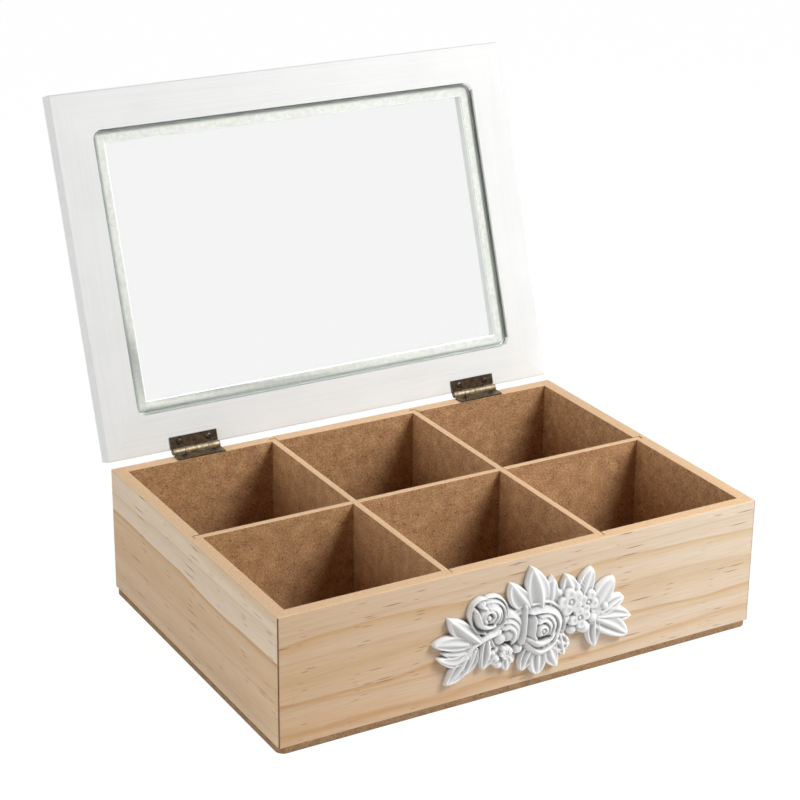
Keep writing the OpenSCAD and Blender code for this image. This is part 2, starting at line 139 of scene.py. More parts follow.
class Graph:
    """Adds nodes to a tree; each method returns the output that carries its result."""

    def __init__(self, tree: bpy.types.NodeTree) -> None:
        """Starts on an empty tree."""
        self.tree = tree
        tree.nodes.clear()

    def out(self, kind: str, inputs: Inputs | None = None, output: str | int = 0, **settings: Any) -> Socket:
        """Adds a node as add does, and returns one of its outputs."""
        return add(self.tree, kind, inputs, **settings).outputs[output]

    def place(self) -> Socket:
        """Returns the point's place on the object."""
        return self.out("ShaderNodeTexCoord", output="Object")

    def parts(self, vector: Socket) -> Sequence[Socket]:
        """Returns a vector's X, Y and Z."""
        return add(self.tree, "ShaderNodeSeparateXYZ", {0: vector}).outputs

    def vector(self, x: Socket | float, y: Socket | float, z: Socket | float) -> Socket:
        """Returns the vector that has these parts."""
        return self.out("ShaderNodeCombineXYZ", {0: x, 1: y, 2: z})

    def upward(self) -> Socket:
        """Returns how far the surface looks up, from -1 to 1."""
        return self.parts(self.out("ShaderNodeNewGeometry", output="Normal"))[2]

    def math(self, operation: str, *terms: Socket | float) -> Socket:
        """Returns the result of one sum."""
        return self.out("ShaderNodeMath", dict(enumerate(terms)), operation=operation)

    def stretched(self, vector: Socket, by: Sequence[float]) -> Socket:
        """Returns a vector multiplied part by part."""
        return self.out("ShaderNodeVectorMath", {0: vector, 1: by}, operation="MULTIPLY")

    def noise(self, vector: Socket, scale: float, detail: float, distortion: float = 0.0) -> Socket:
        """Returns a soft noise from 0 to 1."""
        taken = {"Vector": vector, "Scale": scale, "Detail": detail, "Distortion": distortion}
        return self.out("ShaderNodeTexNoise", taken, "Fac")

    def span(self, value: Socket, low: float, high: float, first: float = 0.0, last: float = 1.0) -> Socket:
        """Returns first where the value is low or less, last where it is high or more, and even steps between."""
        return self.out("ShaderNodeMapRange", {0: value, 1: low, 2: high, 3: first, 4: last}, clamp=True)

    def ramp(self, level: Socket, *stops: tuple[float, str]) -> Socket:
        """Returns the colour that a level has between the stops."""
        return self.out("ShaderNodeValToRGB", {0: level}, stops=stops)

    def over(self, share: Socket | float, under: Socket, colour: Socket | str, blend: str = "MIX") -> Socket:
        """Returns a colour with a share of another one, or of an sRGB hex colour, over it."""
        top = linear(colour) if isinstance(colour, str) else colour
        return self.out("ShaderNodeMix", {0: share, 6: under, 7: top}, 2, data_type="RGBA", blend_type=blend)

    def seen(self) -> Socket:
        """Tells what the eye sees from the light that falls on matt things.

        Returns:
            1 for the camera's rays, also through glass and off metal, and 0 for all others.
        """
        path = add(self.tree, "ShaderNodeLightPath").outputs
        through = self.math("MAXIMUM", path["Is Camera Ray"], path["Is Transmission Ray"])
        return self.math("MAXIMUM", through, path["Is Glossy Ray"])

    def moved(self, geometry: Socket, **how: Any) -> Socket:
        """Returns a geometry with the given Translation, Rotation or Scale."""
        return self.out("GeometryNodeTransform", {"Geometry": geometry, **how})

    def surface(self, inputs: Inputs, relief: Socket | None = None, strength: float = 0, deep: float = 0) -> Socket:
        """Adds the shader of a surface.

        Args:
            inputs: what the shader takes.
            relief: its fine unevenness, from 0 to 1.
            strength: how much of that shows.
            deep: how deep it is.

        Returns:
            The shader's output.
        """
        if relief is not None:
            bump = self.out("ShaderNodeBump", {"Strength": strength, "Distance": deep * MM, "Height": relief})
            inputs = {**inputs, "Normal": bump}
        return self.out("ShaderNodeBsdfPrincipled", inputs)


def blank_material(name: str) -> tuple[bpy.types.Material, Graph]:
    """Makes a material that has no nodes yet.

    Args:
        name: its name.

    Returns:
        The material, and the graph that adds its nodes.
    """
    made = bpy.data.materials.new(name)
    made.use_nodes = True
    return made, Graph(made.node_tree)


def new_object(name: str, mesh: bpy.types.Mesh) -> bpy.types.Object:
    """Links a new object into the scene, at the origin.

    Args:
        name: its name.
        mesh: its mesh.

    Returns:
        The object.
    """
    made = bpy.data.objects.new(name, mesh)
    bpy.context.scene.collection.objects.link(made)
    return made


def smooth(mesh: bpy.types.Mesh, sharp: float = 35.0) -> None:
    """Shades a mesh smooth, apart from edges that turn more than the sharp angle."""
    mesh.polygons.foreach_set("use_smooth", [True] * len(mesh.polygons))
    mesh.set_sharp_from_angle(angle=math.radians(sharp))


def eased(
    node: str, name: str, radius: float, takes: Callable[[Vector, Vector], bool], segments: int = 2
) -> bpy.types.Object:
    """Copies a CAD node and rounds some of its arrises; the copy's second material goes on the round faces.

    Args:
        node: the CAD node's name.
        name: the copy's name.
        radius: radius of the rounding.
        takes: given an edge's two ends in millimetres, says whether that edge is rounded.
        segments: number of faces across the rounding.

    Returns:
        The copy.
    """
    bm = bmesh.new()
    bm.from_mesh(bpy.data.objects[node].data)
    bmesh.ops.remove_doubles(bm, verts=bm.verts, dist=WELD)
    bmesh.ops.dissolve_limit(bm, angle_limit=FLAT, verts=bm.verts, edges=bm.edges)
    creases = [e for e in bm.edges if e.is_manifold and e.calc_face_angle() > ARRIS]
    chosen = [e for e in creases if takes(e.verts[0].co / MM, e.verts[1].co / MM)]
    bmesh.ops.bevel(
        bm, geom=chosen, offset=radius * MM, segments=segments, profile=0.5, affect="EDGES",
        clamp_overlap=True, material=1,
    )
    mesh = bpy.data.meshes.new(name)
    bm.to_mesh(mesh)
    bm.free()
    smooth(mesh)
    copy = new_object(name, mesh)
    crisp = copy.modifiers.new("flat_faces_stay_flat", "WEIGHTED_NORMAL")
    crisp.weight = 100  # the largest faces alone decide
    crisp.keep_sharp = True
    return copy


def fit(piece: bpy.types.Object, body: Body, finishes: Sequence[Finish], *nodes: str) -> None:
    """Dresses a finished piece, sets it on its body and reports it.

    Args:
        piece: the finished mesh, in its place.
        body: the body that it moves with.
        finishes: its finishes, one for each material slot.
        *nodes: the CAD nodes that it stands for.
    """
    mesh = piece.data
    chosen = [face.material_index for face in mesh.polygons]
    mesh.materials.clear()  # this sets every face back to the first slot
    for finish in finishes:
        mesh.materials.append(finish.material())
    mesh.polygons.foreach_set("material_index", chosen)
    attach(piece, body.value)
    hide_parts(*nodes)
    log.info("%s: %d faces on %s", piece.name, len(mesh.polygons), body.value)


def shut(p: Vector) -> Vector:
    """Returns where a point of the open lid lies when the lid is shut."""
    return SWING.inverted() @ (p - HINGE) + HINGE


class Body(Enum):
    """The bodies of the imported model."""

    BOX = "box"
    LID = "lid"


# ---------------------------------------------------------------- finishes


@dataclass(frozen=True)
class Finish:
    """A finish of the object: a material of its own and the name of the slot that it belongs to."""

    name: str
    slot: str

    def material(self) -> bpy.types.Material:
        """Finds this finish's material, or builds it at its first use.

        Returns:
            The material.
        """
        found = bpy.data.materials.get(self.name)
        if found:
            return found
        made, graph = blank_material(self.name)
        add(graph.tree, "ShaderNodeOutputMaterial", {"Surface": self.shader(graph)})
        return made

    def shader(self, graph: Graph) -> Socket:
        """Adds the finish's nodes.

        Args:
            graph: the material's nodes.

        Returns:
            The shader's output.
        """
        raise NotImplementedError


class Grain(Enum):
    """Which way a veneer's grain runs: the index of that axis, and of the axis through the sheet."""

    ALONG_X = (0, 1)
    ALONG_Y = (1, 0)


@dataclass(frozen=True)
class PineVeneer(Finish):
    """Sliced pine, sanded and left bare: pale early wood, warmer bands, thin ring lines and short resin canals."""

    grain: Grain = Grain.ALONG_X
    reach: float = 120.0  # from the sheet's middle to its upright arris
    bands: tuple[tuple[float, str], ...] = (
        (0.0, "DCCAB5"), (0.12, "DAC5AB"), (0.165, "CFAE89"), (0.18, "D9C2A6"), (0.26, "DDCBB6"), (0.32, "D7BF9F"),
        (0.35, "CDA982"), (0.36, "DBC8B0"), (0.44, "DBC7AD"), (0.52, "D5BD9D"), (0.6, "DCC9AF"), (0.7, "DECDB8"),
        (0.77, "D7BE9C"), (0.795, "D2B48E"), (0.805, "DECDB8"), (0.9, "DDCBB4"), (1.0, "DFCFBB"),
    )
    height: float = 63.0  # of the box, over which the bands run
    waves: Triple = (9.0, 45.0, 9.0)  # the bands' waves to a metre: along the grain, up the sheet and through it
    sway: float = 0.24  # how far the waves carry a band, as a share of the height
    ring: float = 13.0  # mean distance between ring lines
    ring_colour: str = "B98F61"
    late: tuple[tuple[float, str], ...] = (
        (0.0, "000000"), (0.55, "101010"), (0.86, "606060"), (0.97, "B0B0B0"), (1.0, "000000"),
    )  # how the late wood darkens from one ring line to the next
    late_share: float = 0.55
    canals: tuple[tuple[float, float, float, float], ...] = (
        (60.0, 2.8, 0.42, 0.13), (26.0, 1.9, 0.5, 0.13),
    )  # of long and of short resin canals: length and height of a cell, share of cells without one, greatest size
    canal_colour: str = "8E5D34"
    shaded_warm_end: str = "FBEBD9"  # painted shade: the sheet is this much darker and warmer at its left end, away from the lamps
    fibre: tuple[float, float] = (15.0, 0.8)  # length and height of the finest streaks
    edge_colour: str = "EDCDA2"  # sanded edge, seen from above
    seam: float = 0.45  # width of the brown line of glue at the upright arris
    seam_colour: str = "7E5A3A"

    def shader(self, graph: Graph) -> Socket:
        """Adds the veneer's nodes.

        Args:
            graph: the material's nodes.

        Returns:
            The shader's output.
        """
        parts = graph.parts(graph.place())
        run, depth = self.grain.value
        sheet = graph.vector(parts[run], parts[2], parts[depth])
        colour = self.canalled(graph, sheet, self.ringed(graph, sheet, self.banded(graph, sheet, parts[2])))

        # fine fibres
        length, width = (1 / (size * MM) for size in self.fibre)
        fibre = graph.noise(graph.stretched(sheet, (length, width, width)), 1.0, 3.0)
        tone = graph.ramp(fibre, (0.3, "F5F1ED"), (0.5, "FBF9F7"), (0.7, "FFFFFF"))
        colour = graph.over(1.0, colour, tone, "MULTIPLY")

        # painted shade: darker and warmer towards the left end
        end = graph.span(parts[run], -self.reach * MM, 0.75 * self.reach * MM, 1.0, 0.0)
        colour = graph.over(end, colour, self.shaded_warm_end, "MULTIPLY")

        # brown seam at the upright arris, and the sanded top edge
        far = graph.math("ABSOLUTE", parts[run])
        starts, full = ((self.reach - share * self.seam) * MM for share in (1.6, 0.7))
        colour = graph.over(graph.span(far, starts, full, 0.0, 0.9), colour, self.seam_colour)
        colour = graph.over(graph.span(graph.upward(), 0.4, 0.8), colour, self.edge_colour)
        return graph.surface({"Base Color": colour, "Roughness": 0.58, "IOR": 1.45}, fibre, 0.25, 0.1)

    def banded(self, graph: Graph, sheet: Socket, up: Socket) -> Socket:
        """Adds the broad bands of early wood, waved along the grain.

        Args:
            graph: the material's nodes.
            sheet: the place on the sheet: along the grain, up and through it.
            up: the height above the floor.

        Returns:
            The colour.
        """
        waved = graph.noise(graph.stretched(sheet, self.waves), 1.0, 2.0)
        level = graph.math("MULTIPLY", up, 1 / (self.height * MM))
        level = graph.math("MULTIPLY_ADD", graph.math("ADD", waved, -0.5), self.sway, level)
        return graph.ramp(level, *self.bands)

    def ringed(self, graph: Graph, sheet: Socket, colour: Socket) -> Socket:
        """Adds ring lines: late wood that darkens towards a sharp edge.

        Args:
            graph: the material's nodes.
            sheet: the place on the sheet.
            colour: the colour below.

        Returns:
            The colour with the lines.
        """
        rings = graph.out(
            "ShaderNodeTexWave",
            {
                "Vector": graph.stretched(sheet, (0.09, 1, 0.5)), "Scale": math.tau / 20 / (self.ring * MM),
                "Distortion": 7.0, "Detail": 2.0, "Detail Scale": 1.2,
            },
            "Fac", bands_direction="Y", wave_profile="SAW",
        )
        late = graph.math("MULTIPLY", graph.ramp(rings, *self.late), self.late_share)
        return graph.over(late, colour, self.ring_colour)

    def canalled(self, graph: Graph, sheet: Socket, colour: Socket) -> Socket:
        """Adds short resin canals, at most one to a cell, longer and shorter at random.

        Args:
            graph: the material's nodes.
            sheet: the place on the sheet.
            colour: the colour below.

        Returns:
            The colour with the canals.
        """
        for length, height, without, greatest in self.canals:
            cells = graph.stretched(sheet, (1 / (length * MM), 1 / (height * MM), 0))
            taken = {"Vector": cells, "Scale": 1.0, "Randomness": 1.0}
            canal = add(graph.tree, "ShaderNodeTexVoronoi", taken, voronoi_dimensions="2D").outputs
            size = graph.out("ShaderNodeSeparateColor", {0: canal["Color"]})
            size = graph.span(size, without, 1.0, 0.001, greatest)
            inside = graph.span(graph.math("DIVIDE", canal["Distance"], size), 0.4, 1.0, 0.8, 0.0)
            colour = graph.over(inside, colour, self.canal_colour)
        return colour


@dataclass(frozen=True)
class FibreBoard(Finish):
    """Pressed wood fibre: mottled brown faces with dark specks and stray fibres; sawn edges sand to light tan."""

    face_colours: tuple[str, str, str] = ("9A7150", "BB8F63", "D8AD81")
    speck_colour: str = "553720"
    edge_colours: tuple[str, str] = ("E6BE94", "F0CCA4")
    edge_from: float = 62.0  # height above which a face that looks up is a sanded edge
    mottle: float = 6.0  # size of the cloudy patches
    grit: float = 0.8  # size of the fine grain
    wisp: float = 3.6  # size of the curls of fibre
    broken: float = 2.4  # the curls are cut into lengths of this size
    speck: float = 5.0  # one dark speck in each cell of this size

    def shader(self, graph: Graph) -> Socket:
        """Adds the board's nodes.

        Args:
            graph: the material's nodes.

        Returns:
            The shader's output.
        """
        place = graph.place()
        grit = graph.noise(place, 1 / (self.grit * MM), 2.0)
        cloud = graph.math("MULTIPLY", graph.noise(place, 1 / (self.mottle * MM), 4.0), 0.35)
        both = graph.math("MULTIPLY_ADD", grit, 0.65, cloud)
        colour = graph.ramp(both, *zip((0.34, 0.5, 0.66), self.face_colours))

        # stray fibres: thin curls where a noise crosses its middle, broken up by another
        curl = graph.noise(place, 1 / (self.wisp * MM), 1.0, 1.2)
        line = graph.span(graph.math("ABSOLUTE", graph.math("ADD", curl, -0.5)), 0.006, 0.02, 1.0, 0.0)
        gate = graph.span(graph.noise(place, 1 / (self.broken * MM), 0.0), 0.5, 0.6, 0.0, 0.6)
        speck = {"Vector": place, "Scale": 1 / (self.speck * MM)}
        speck = graph.span(graph.out("ShaderNodeTexVoronoi", speck, "Distance"), 0.06, 0.13, 0.65, 0.0)
        dirt = graph.math("MAXIMUM", graph.math("MULTIPLY", line, gate), speck)
        colour = graph.over(dirt, colour, self.speck_colour)

        # the sanded edges on top
        edge = graph.ramp(grit, *zip((0.35, 0.65), self.edge_colours))
        high = graph.math("GREATER_THAN", graph.parts(place)[2], self.edge_from * MM)
        top = graph.math("MULTIPLY", graph.span(graph.upward(), 0.35, 0.7), high)
        colour = graph.over(top, colour, edge)
        return graph.surface({"Base Color": colour, "Roughness": 0.72, "IOR": 1.45}, both, 0.3, 0.12)


class Brush(Enum):
    """Which way the paint was brushed on a member of the lid: stretch of the pattern along X and up the lid."""

    ALONG_X = (1 / 60, 1 / 0.8)
    UP_THE_LID = (1 / 0.8, 1 / 60)


@dataclass(frozen=True)
class BrushedPaint(Finish):
    """White satin paint brushed on wood: fine streaks along the member, a trace of grain, soft gloss."""

    brush: Brush = Brush.ALONG_X
    colours: tuple[str, str] = ("EEEFEE", "F5F6F5")

    def shader(self, graph: Graph) -> Socket:
        """Adds the paint's nodes.

        Args:
            graph: the material's nodes.

        Returns:
            The shader's output.
        """
        turned = {"Vector": graph.place(), "Rotation": (math.radians(OPEN_ANGLE), 0, 0)}
        flat = graph.out("ShaderNodeMapping", turned)  # as on the shut lid, so that Y runs up the frame
        along, up = self.brush.value
        streak = graph.noise(graph.stretched(flat, (along / MM, up / MM, 1 / (2 * MM))), 1.0, 3.0)
        mixed = graph.math("MULTIPLY", graph.math("ADD", streak, graph.noise(flat, 30.0, 2.0)), 0.5)
        colour = graph.ramp(mixed, *zip((0.35, 0.6), self.colours))
        return graph.surface({"Base Color": colour, "Roughness": 0.6, "IOR": 1.5}, streak, 0.35, 0.08)


@dataclass(frozen=True)
class FloatGlass(Finish):
    """Clear float glass: faintly green through its thickness, polished, and light passes it to what is behind."""

    tint: str = "F3F4F3"
    shadow_tint: str = "F6F9F7"  # of the light that falls through it

    def shader(self, graph: Graph) -> Socket:
        """Adds the glass's nodes.

        Args:
            graph: the material's nodes.

        Returns:
            The shader's output.
        """
        film = graph.span(graph.noise(graph.place(), 14.0, 2.0), 0.35, 0.75, 0.005, 0.03)
        glass = graph.surface(
            {"Base Color": linear(self.tint), "Roughness": film, "IOR": 1.5, "Transmission Weight": 1.0}
        )
        clear = graph.out("ShaderNodeBsdfTransparent", {"Color": linear(self.shadow_tint)})
        shadow = graph.out("ShaderNodeLightPath", output="Is Shadow Ray")
        return graph.out("ShaderNodeMixShader", {0: shadow, 1: glass, 2: clear})


@dataclass(frozen=True)
class CutGlass(Finish):
    """The pane's cut edge, ground matte and painted dark green: the green light takes through the width, and shade in
    the gap beside it.
    """

    # painted shade and the painted green of light through the glass's width
    colours: tuple[str, str] = ("4E5E53", "7C8B80")

    def shader(self, graph: Graph) -> Socket:
        """Adds the edge's nodes.

        Args:
            graph: the material's nodes.

        Returns:
            The shader's output.
        """
        chips = graph.noise(graph.place(), 60.0, 4.0)
        colour = graph.ramp(chips, *zip((0.4, 0.62), self.colours))
        return graph.surface({"Base Color": colour, "Roughness": 0.45, "IOR": 1.5})


@dataclass(frozen=True)
class SiliconeBead(Finish):
    """Cured glazing silicone: milky, a little green and uneven where the glass pressed it out; painted shade darkens
    its outer margin.
    """

    colours: tuple[str, str] = ("C8C8C2", "D4D4D0")
    margin_shade_colour: str = "6B7A6F"  # painted shade in the outer margin under the rebate's walls, tinted with the green of the pane's cut edge
    glow: float = 2.4  # width of that painted shade
    reach: tuple[float, float] = (101.4, 66.4)  # from the lid's middle to the bead's outer edges

    def shader(self, graph: Graph) -> Socket:
        """Adds the bead's nodes.

        Args:
            graph: the material's nodes.

        Returns:
            The shader's output.
        """
        place = graph.place()
        axis = HINGE * MM
        flat = graph.out(
            "ShaderNodeMapping",
            {
                "Vector": place, "Location": axis - SWING.inverted() @ axis,
                "Rotation": (math.radians(OPEN_ANGLE), 0, 0),
            },
        )
        sides = graph.parts(graph.out("ShaderNodeVectorMath", {0: flat}, operation="ABSOLUTE"))
        # painted shade along the bead's outer margin
        near = [
            graph.span(side, (edge - self.glow) * MM, (edge - 0.3 * self.glow) * MM)
            for side, edge in zip(sides, self.reach)
        ]
        blot = graph.noise(place, 520.0, 3.0, 0.6)
        colour = graph.ramp(blot, *zip((0.38, 0.6), self.colours))
        colour = graph.over(graph.math("MAXIMUM", *near), colour, self.margin_shade_colour)
        return graph.surface({"Base Color": colour, "Roughness": 0.35, "IOR": 1.41})


@dataclass(frozen=True)
class AntiqueBronze(Finish):
    """Steel with antique bronze plating, dark brown in its flats; lighter copies give wear and painted highlight on
    arrises and knuckles, and painted sheen on the box's leaves.
    """

    colours: tuple[str, str] = ("30261C", "4C4031")
    roughness: tuple[float, float] = (0.28, 0.46)

    def shader(self, graph: Graph) -> Socket:
        """Adds the plating's nodes.

        Args:
            graph: the material's nodes.

        Returns:
            The shader's output.
        """
        stain = graph.noise(graph.place(), 650.0, 4.0)
        colour = graph.ramp(stain, *zip((0.35, 0.65), self.colours))
        smoothest, roughest = self.roughness
        rough = graph.span(stain, 0.3, 0.7, roughest, smoothest)
        return graph.surface({"Base Color": colour, "Metallic": 1.0, "Roughness": rough}, stain, 0.2, 0.05)


@dataclass(frozen=True)
class CastResin(Finish):
    """Matte white polyester casting, chalky, with a painted highlight on its arrises and painted shade in its
    hollows.

    The mesh carries how far each point lies in a hollow, in millimetres, as the attribute "hollow".
    """

    # painted light: white for the painted highlight on arrises, down to grey for the painted shade deep in hollows
    stops: tuple[tuple[float, str], ...] = (
        (0.0, "F1F1F1"), (0.26, "E6E6E6"), (0.44, "D8D8D8"), (0.6, "C9C9C8"), (0.8, "AAA9A7"), (1.0, "8C8A88"),
    )
    span: tuple[float, float] = (-0.55, 0.75)  # hollow depths at which the painted highlight and the painted shade start and end

    def shader(self, graph: Graph) -> Socket:
        """Adds the casting's nodes.

        Args:
            graph: the material's nodes.

        Returns:
            The shader's output.
        """
        # painted shade in the hollows and painted highlight on the arrises, from how deep each point lies
        hollow = graph.out("ShaderNodeAttribute", output="Fac", attribute_name="hollow")
        colour = graph.ramp(graph.span(hollow, *self.span), *self.stops)
        chalk = graph.noise(graph.place(), 1600.0, 3.0)
        return graph.surface({"Base Color": colour, "Roughness": 0.78, "IOR": 1.5}, chalk, 0.25, 0.08)


PINE_FRONT = PineVeneer("sliced_pine_front", "pine_veneer")
PINE_SIDE = PineVeneer(
    "sliced_pine_side", "pine_veneer", grain=Grain.ALONG_Y, reach=85.0, shaded_warm_end="FFFFFF",
    bands=(
        (0.0, "D2B08C"), (0.12, "E1C8AA"), (0.2, "D7B894"), (0.32, "DFC3A2"), (0.45, "D5B48E"), (0.56, "DCBF9C"),
        (0.62, "D9BA94"), (0.655, "C99D6E"), (0.665, "E7D6BF"), (0.8, "E3CFB5"), (0.92, "E9D7BF"), (1.0, "DFC5A5"),
    ),
)
WALL_BOARD = FibreBoard("fibre_board_walls", "brown_board")
BASE_BOARD = FibreBoard(
    "fibre_board_base", "brown_board", face_colours=("7C5F45", "92714F", "A98863"), edge_from=1000.0
)
DIVIDER_BOARD = FibreBoard("fibre_board_dividers", "divider_board")
PAINT_RAILS = BrushedPaint("satin_paint_rails", "white_paint")
PAINT_STILES = BrushedPaint("satin_paint_stiles", "white_paint", brush=Brush.UP_THE_LID)
# painted shade: the rebate's walls are dark grey-green for the shadow in the rebate and the green of the pane's edge
REBATE_SHADE_PAINT = BrushedPaint("painted_shade_in_rebate", "white_paint", colours=("7F887C", "A0A79C"))
GLASS = FloatGlass("float_glass", "clear_glass")
CUT_GLASS = CutGlass("cut_glass_edge_painted_shade", "clear_glass")
SILICONE = SiliconeBead("glazing_silicone", "silicone")
BRONZE = AntiqueBronze("antique_bronze_plating", "hinge_bronze")
# painted reflection: the box's leaves are coloured lighter for the sheen they catch
SHEEN_BRONZE = AntiqueBronze("antique_bronze_painted_sheen", "hinge_bronze", colours=("5C5241", "80745F"))
# wear and painted highlight, on the knuckles, the pins and the leaves' eased arrises
WORN_HIGHLIGHT_BRONZE = AntiqueBronze("antique_bronze_worn_and_highlight", "hinge_bronze", colours=("857862", "B0A188"), roughness=(0.5, 0.6))
SCREW_BRONZE = AntiqueBronze("antique_bronze_screws", "screw_bronze", colours=("2A2320", "5A5048"))
RESIN = CastResin("matte_polyester_casting", "cast_resin")


# ---------------------------------------------------------------- box


@dataclass
class BoxShell:
    """The six-compartment box: base board, mitred walls with their pine skins, and the halved dividers."""

    ease: float = 0.35  # rounding that sanding leaves on the outer arrises
    inner_ease: float = 0.25  # and on the inner ones
    base_ease: float = 0.5
    touch: float = 0.01  # two points closer than this are the same
    rim: float = 0.3  # the top edges lie less than this below the walls' height
    half_w: float = field(init=False)
    half_d: float = field(init=False)
    top: float = field(init=False)

    def __post_init__(self) -> None:
        """Takes the box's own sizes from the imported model."""
        self.half_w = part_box("base_board")[1].x / MM
        self.half_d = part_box("base_board")[1].y / MM
        self.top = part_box("front_wall")[1].z / MM

    def build(self) -> None:
        """Makes every piece of the box."""
        for side in ("front", "rear", "left", "right"):
            self.wall(side)
        self.base()
        self.dividers()

    def on_outside(self, p: Vector) -> bool:
        """Says whether a point lies on one of the box's four outer faces."""
        return abs(abs(p.x) - self.half_w) < self.touch or abs(abs(p.y) - self.half_d) < self.touch

    def on_top(self, p: Vector) -> bool:
        """Says whether a point lies on the walls' or dividers' top edges."""
        return p.z > self.top - self.rim

    def wall(self, side: str) -> None:
        """Makes one wall board and its skin.

        Args:
            side: front, rear, left or right.
        """
        pine, axis = (PINE_FRONT, 1) if side in ("front", "rear") else (PINE_SIDE, 0)
        inner = min(abs(corner[axis]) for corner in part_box(f"{side}_wall")) / MM

        def outer_arris(a: Vector, b: Vector) -> bool:
            """Says whether an edge runs on the box's outer faces."""
            return self.on_outside(a) and self.on_outside(b)

        def room_side(a: Vector, b: Vector) -> bool:
            """Says whether an edge is the board's top one on the side of the compartments."""
            return all(self.on_top(p) and abs(abs(p[axis]) - inner) < self.touch for p in (a, b))

        skin = eased(f"{side}_veneer", f"{side}_skin", self.ease, outer_arris)
        fit(skin, Body.BOX, [pine, pine], f"{side}_veneer")
        board = eased(f"{side}_wall", f"{side}_board", self.inner_ease, room_side)
        fit(board, Body.BOX, [WALL_BOARD, WALL_BOARD], f"{side}_wall")

    def base(self) -> None:
        """Makes the base board, its lower and upper arrises eased."""
        board = eased("base_board", "base_sheet", self.base_ease, lambda a, b: abs(a.z - b.z) < self.touch, 3)
        fit(board, Body.BOX, [BASE_BOARD, BASE_BOARD], "base_board")

    def dividers(self) -> None:
        """Makes the three dividers, their top arrises eased."""
        for name, run in (("long", 0), ("left_cross", 1), ("right_cross", 1)):

            def long_top(a: Vector, b: Vector, run: int = run) -> bool:
                """Says whether an edge is one of the two that run along the divider's top."""
                return self.on_top(a) and self.on_top(b) and abs(a[run] - b[run]) > 4 * self.inner_ease

            board = eased(f"{name}_divider", f"{name}_partition", self.inner_ease, long_top)
            fit(board, Body.BOX, [DIVIDER_BOARD, DIVIDER_BOARD], f"{name}_divider")


# ---------------------------------------------------------------- lid


@dataclass
class Lid:
    """The glazed lid: a mitred frame painted white, the pane and its bed of silicone."""

    ease: float = 0.3  # rounding under the paint
    pane_ease: float = 0.15  # the glass's arrises are ground off by this
    touch: float = 0.02
    half_w: float = 120.0  # from the lid's middle to its outer faces
    half_d: float = 85.0
    rebate_w: float = 102.0  # from the lid's middle to just outside the rebate's wall
    rebate_d: float = 67.0
    bed_z: float = 67.2  # the rebate's walls end here, where the ledge is
    shortest: float = 2.0  # edges shorter than this belong to screw holes
    edgewise: float = 0.5  # a face looks edgewise if less than this of its normal points out of the lid's plane

    def build(self) -> None:
        """Makes every piece of the lid."""
        for name, paint in (
            ("front_rail", PAINT_RAILS), ("rear_rail", PAINT_RAILS),
            ("left_stile", PAINT_STILES), ("right_stile", PAINT_STILES),
        ):
            member = eased(f"lid_{name}", f"painted_{name}", self.ease, self.shows)
            for face in member.data.polygons:
                # the rebate's walls take the painted shade
                face.material_index = 2 if self.in_rebate(face) else 0
            fit(member, Body.LID, [paint, paint, REBATE_SHADE_PAINT], f"lid_{name}")
        pane = eased("glass_pane", "pane", self.pane_ease, lambda a, b: True, 1)
        for face in pane.data.polygons:
            face.material_index = 1 if self.is_edge(face) else 0
        fit(pane, Body.LID, [GLASS, CUT_GLASS], "glass_pane")
        bead = bpy.data.objects["glazing_bead"].data.materials
        bead.clear()
        bead.append(SILICONE.material())

    def is_edge(self, face: bpy.types.MeshPolygon) -> bool:
        """Says whether a face looks edgewise, and not out of the lid's plane."""
        return abs(face.normal.dot(SWING @ Vector((0, 0, 1)))) < self.edgewise

    def in_rebate(self, face: bpy.types.MeshPolygon) -> bool:
        """Says whether a face is a wall of the rebate that the pane lies in."""
        x, y, z = shut(face.center / MM)
        return self.is_edge(face) and abs(x) < self.rebate_w and abs(y) < self.rebate_d and z < self.bed_z

    def on_mitre(self, p: Vector) -> bool:
        """Says whether a point lies in one of the frame's mitre faces."""
        flat = shut(p)
        return abs((self.half_w - abs(flat.x)) - (self.half_d - abs(flat.y))) < self.touch

    def shows(self, a: Vector, b: Vector) -> bool:
        """Says whether an edge of a member is one that shows, and not one inside a mitre or a screw hole."""
        return not (self.on_mitre(a) and self.on_mitre(b)) and (a - b).length > self.shortest


# ---------------------------------------------------------------- hinges


@dataclass(frozen=True)
class Screw:
    """Sizes of a cross-head screw, in the order of the screw tree's inputs, which are named after them."""

    head_radius: float = 1.6
    head_height: float = 0.65
    shank_radius: float = 0.9
    shank_length: float = 6.0
    recess_width: float = 0.5
    recess_length: float = 1.9

    def inputs(self) -> dict[str, float]:
        """Returns each size in metres under its input's name."""
        return {size.name.replace("_", " ").capitalize(): getattr(self, size.name) * MM for size in fields(self)}


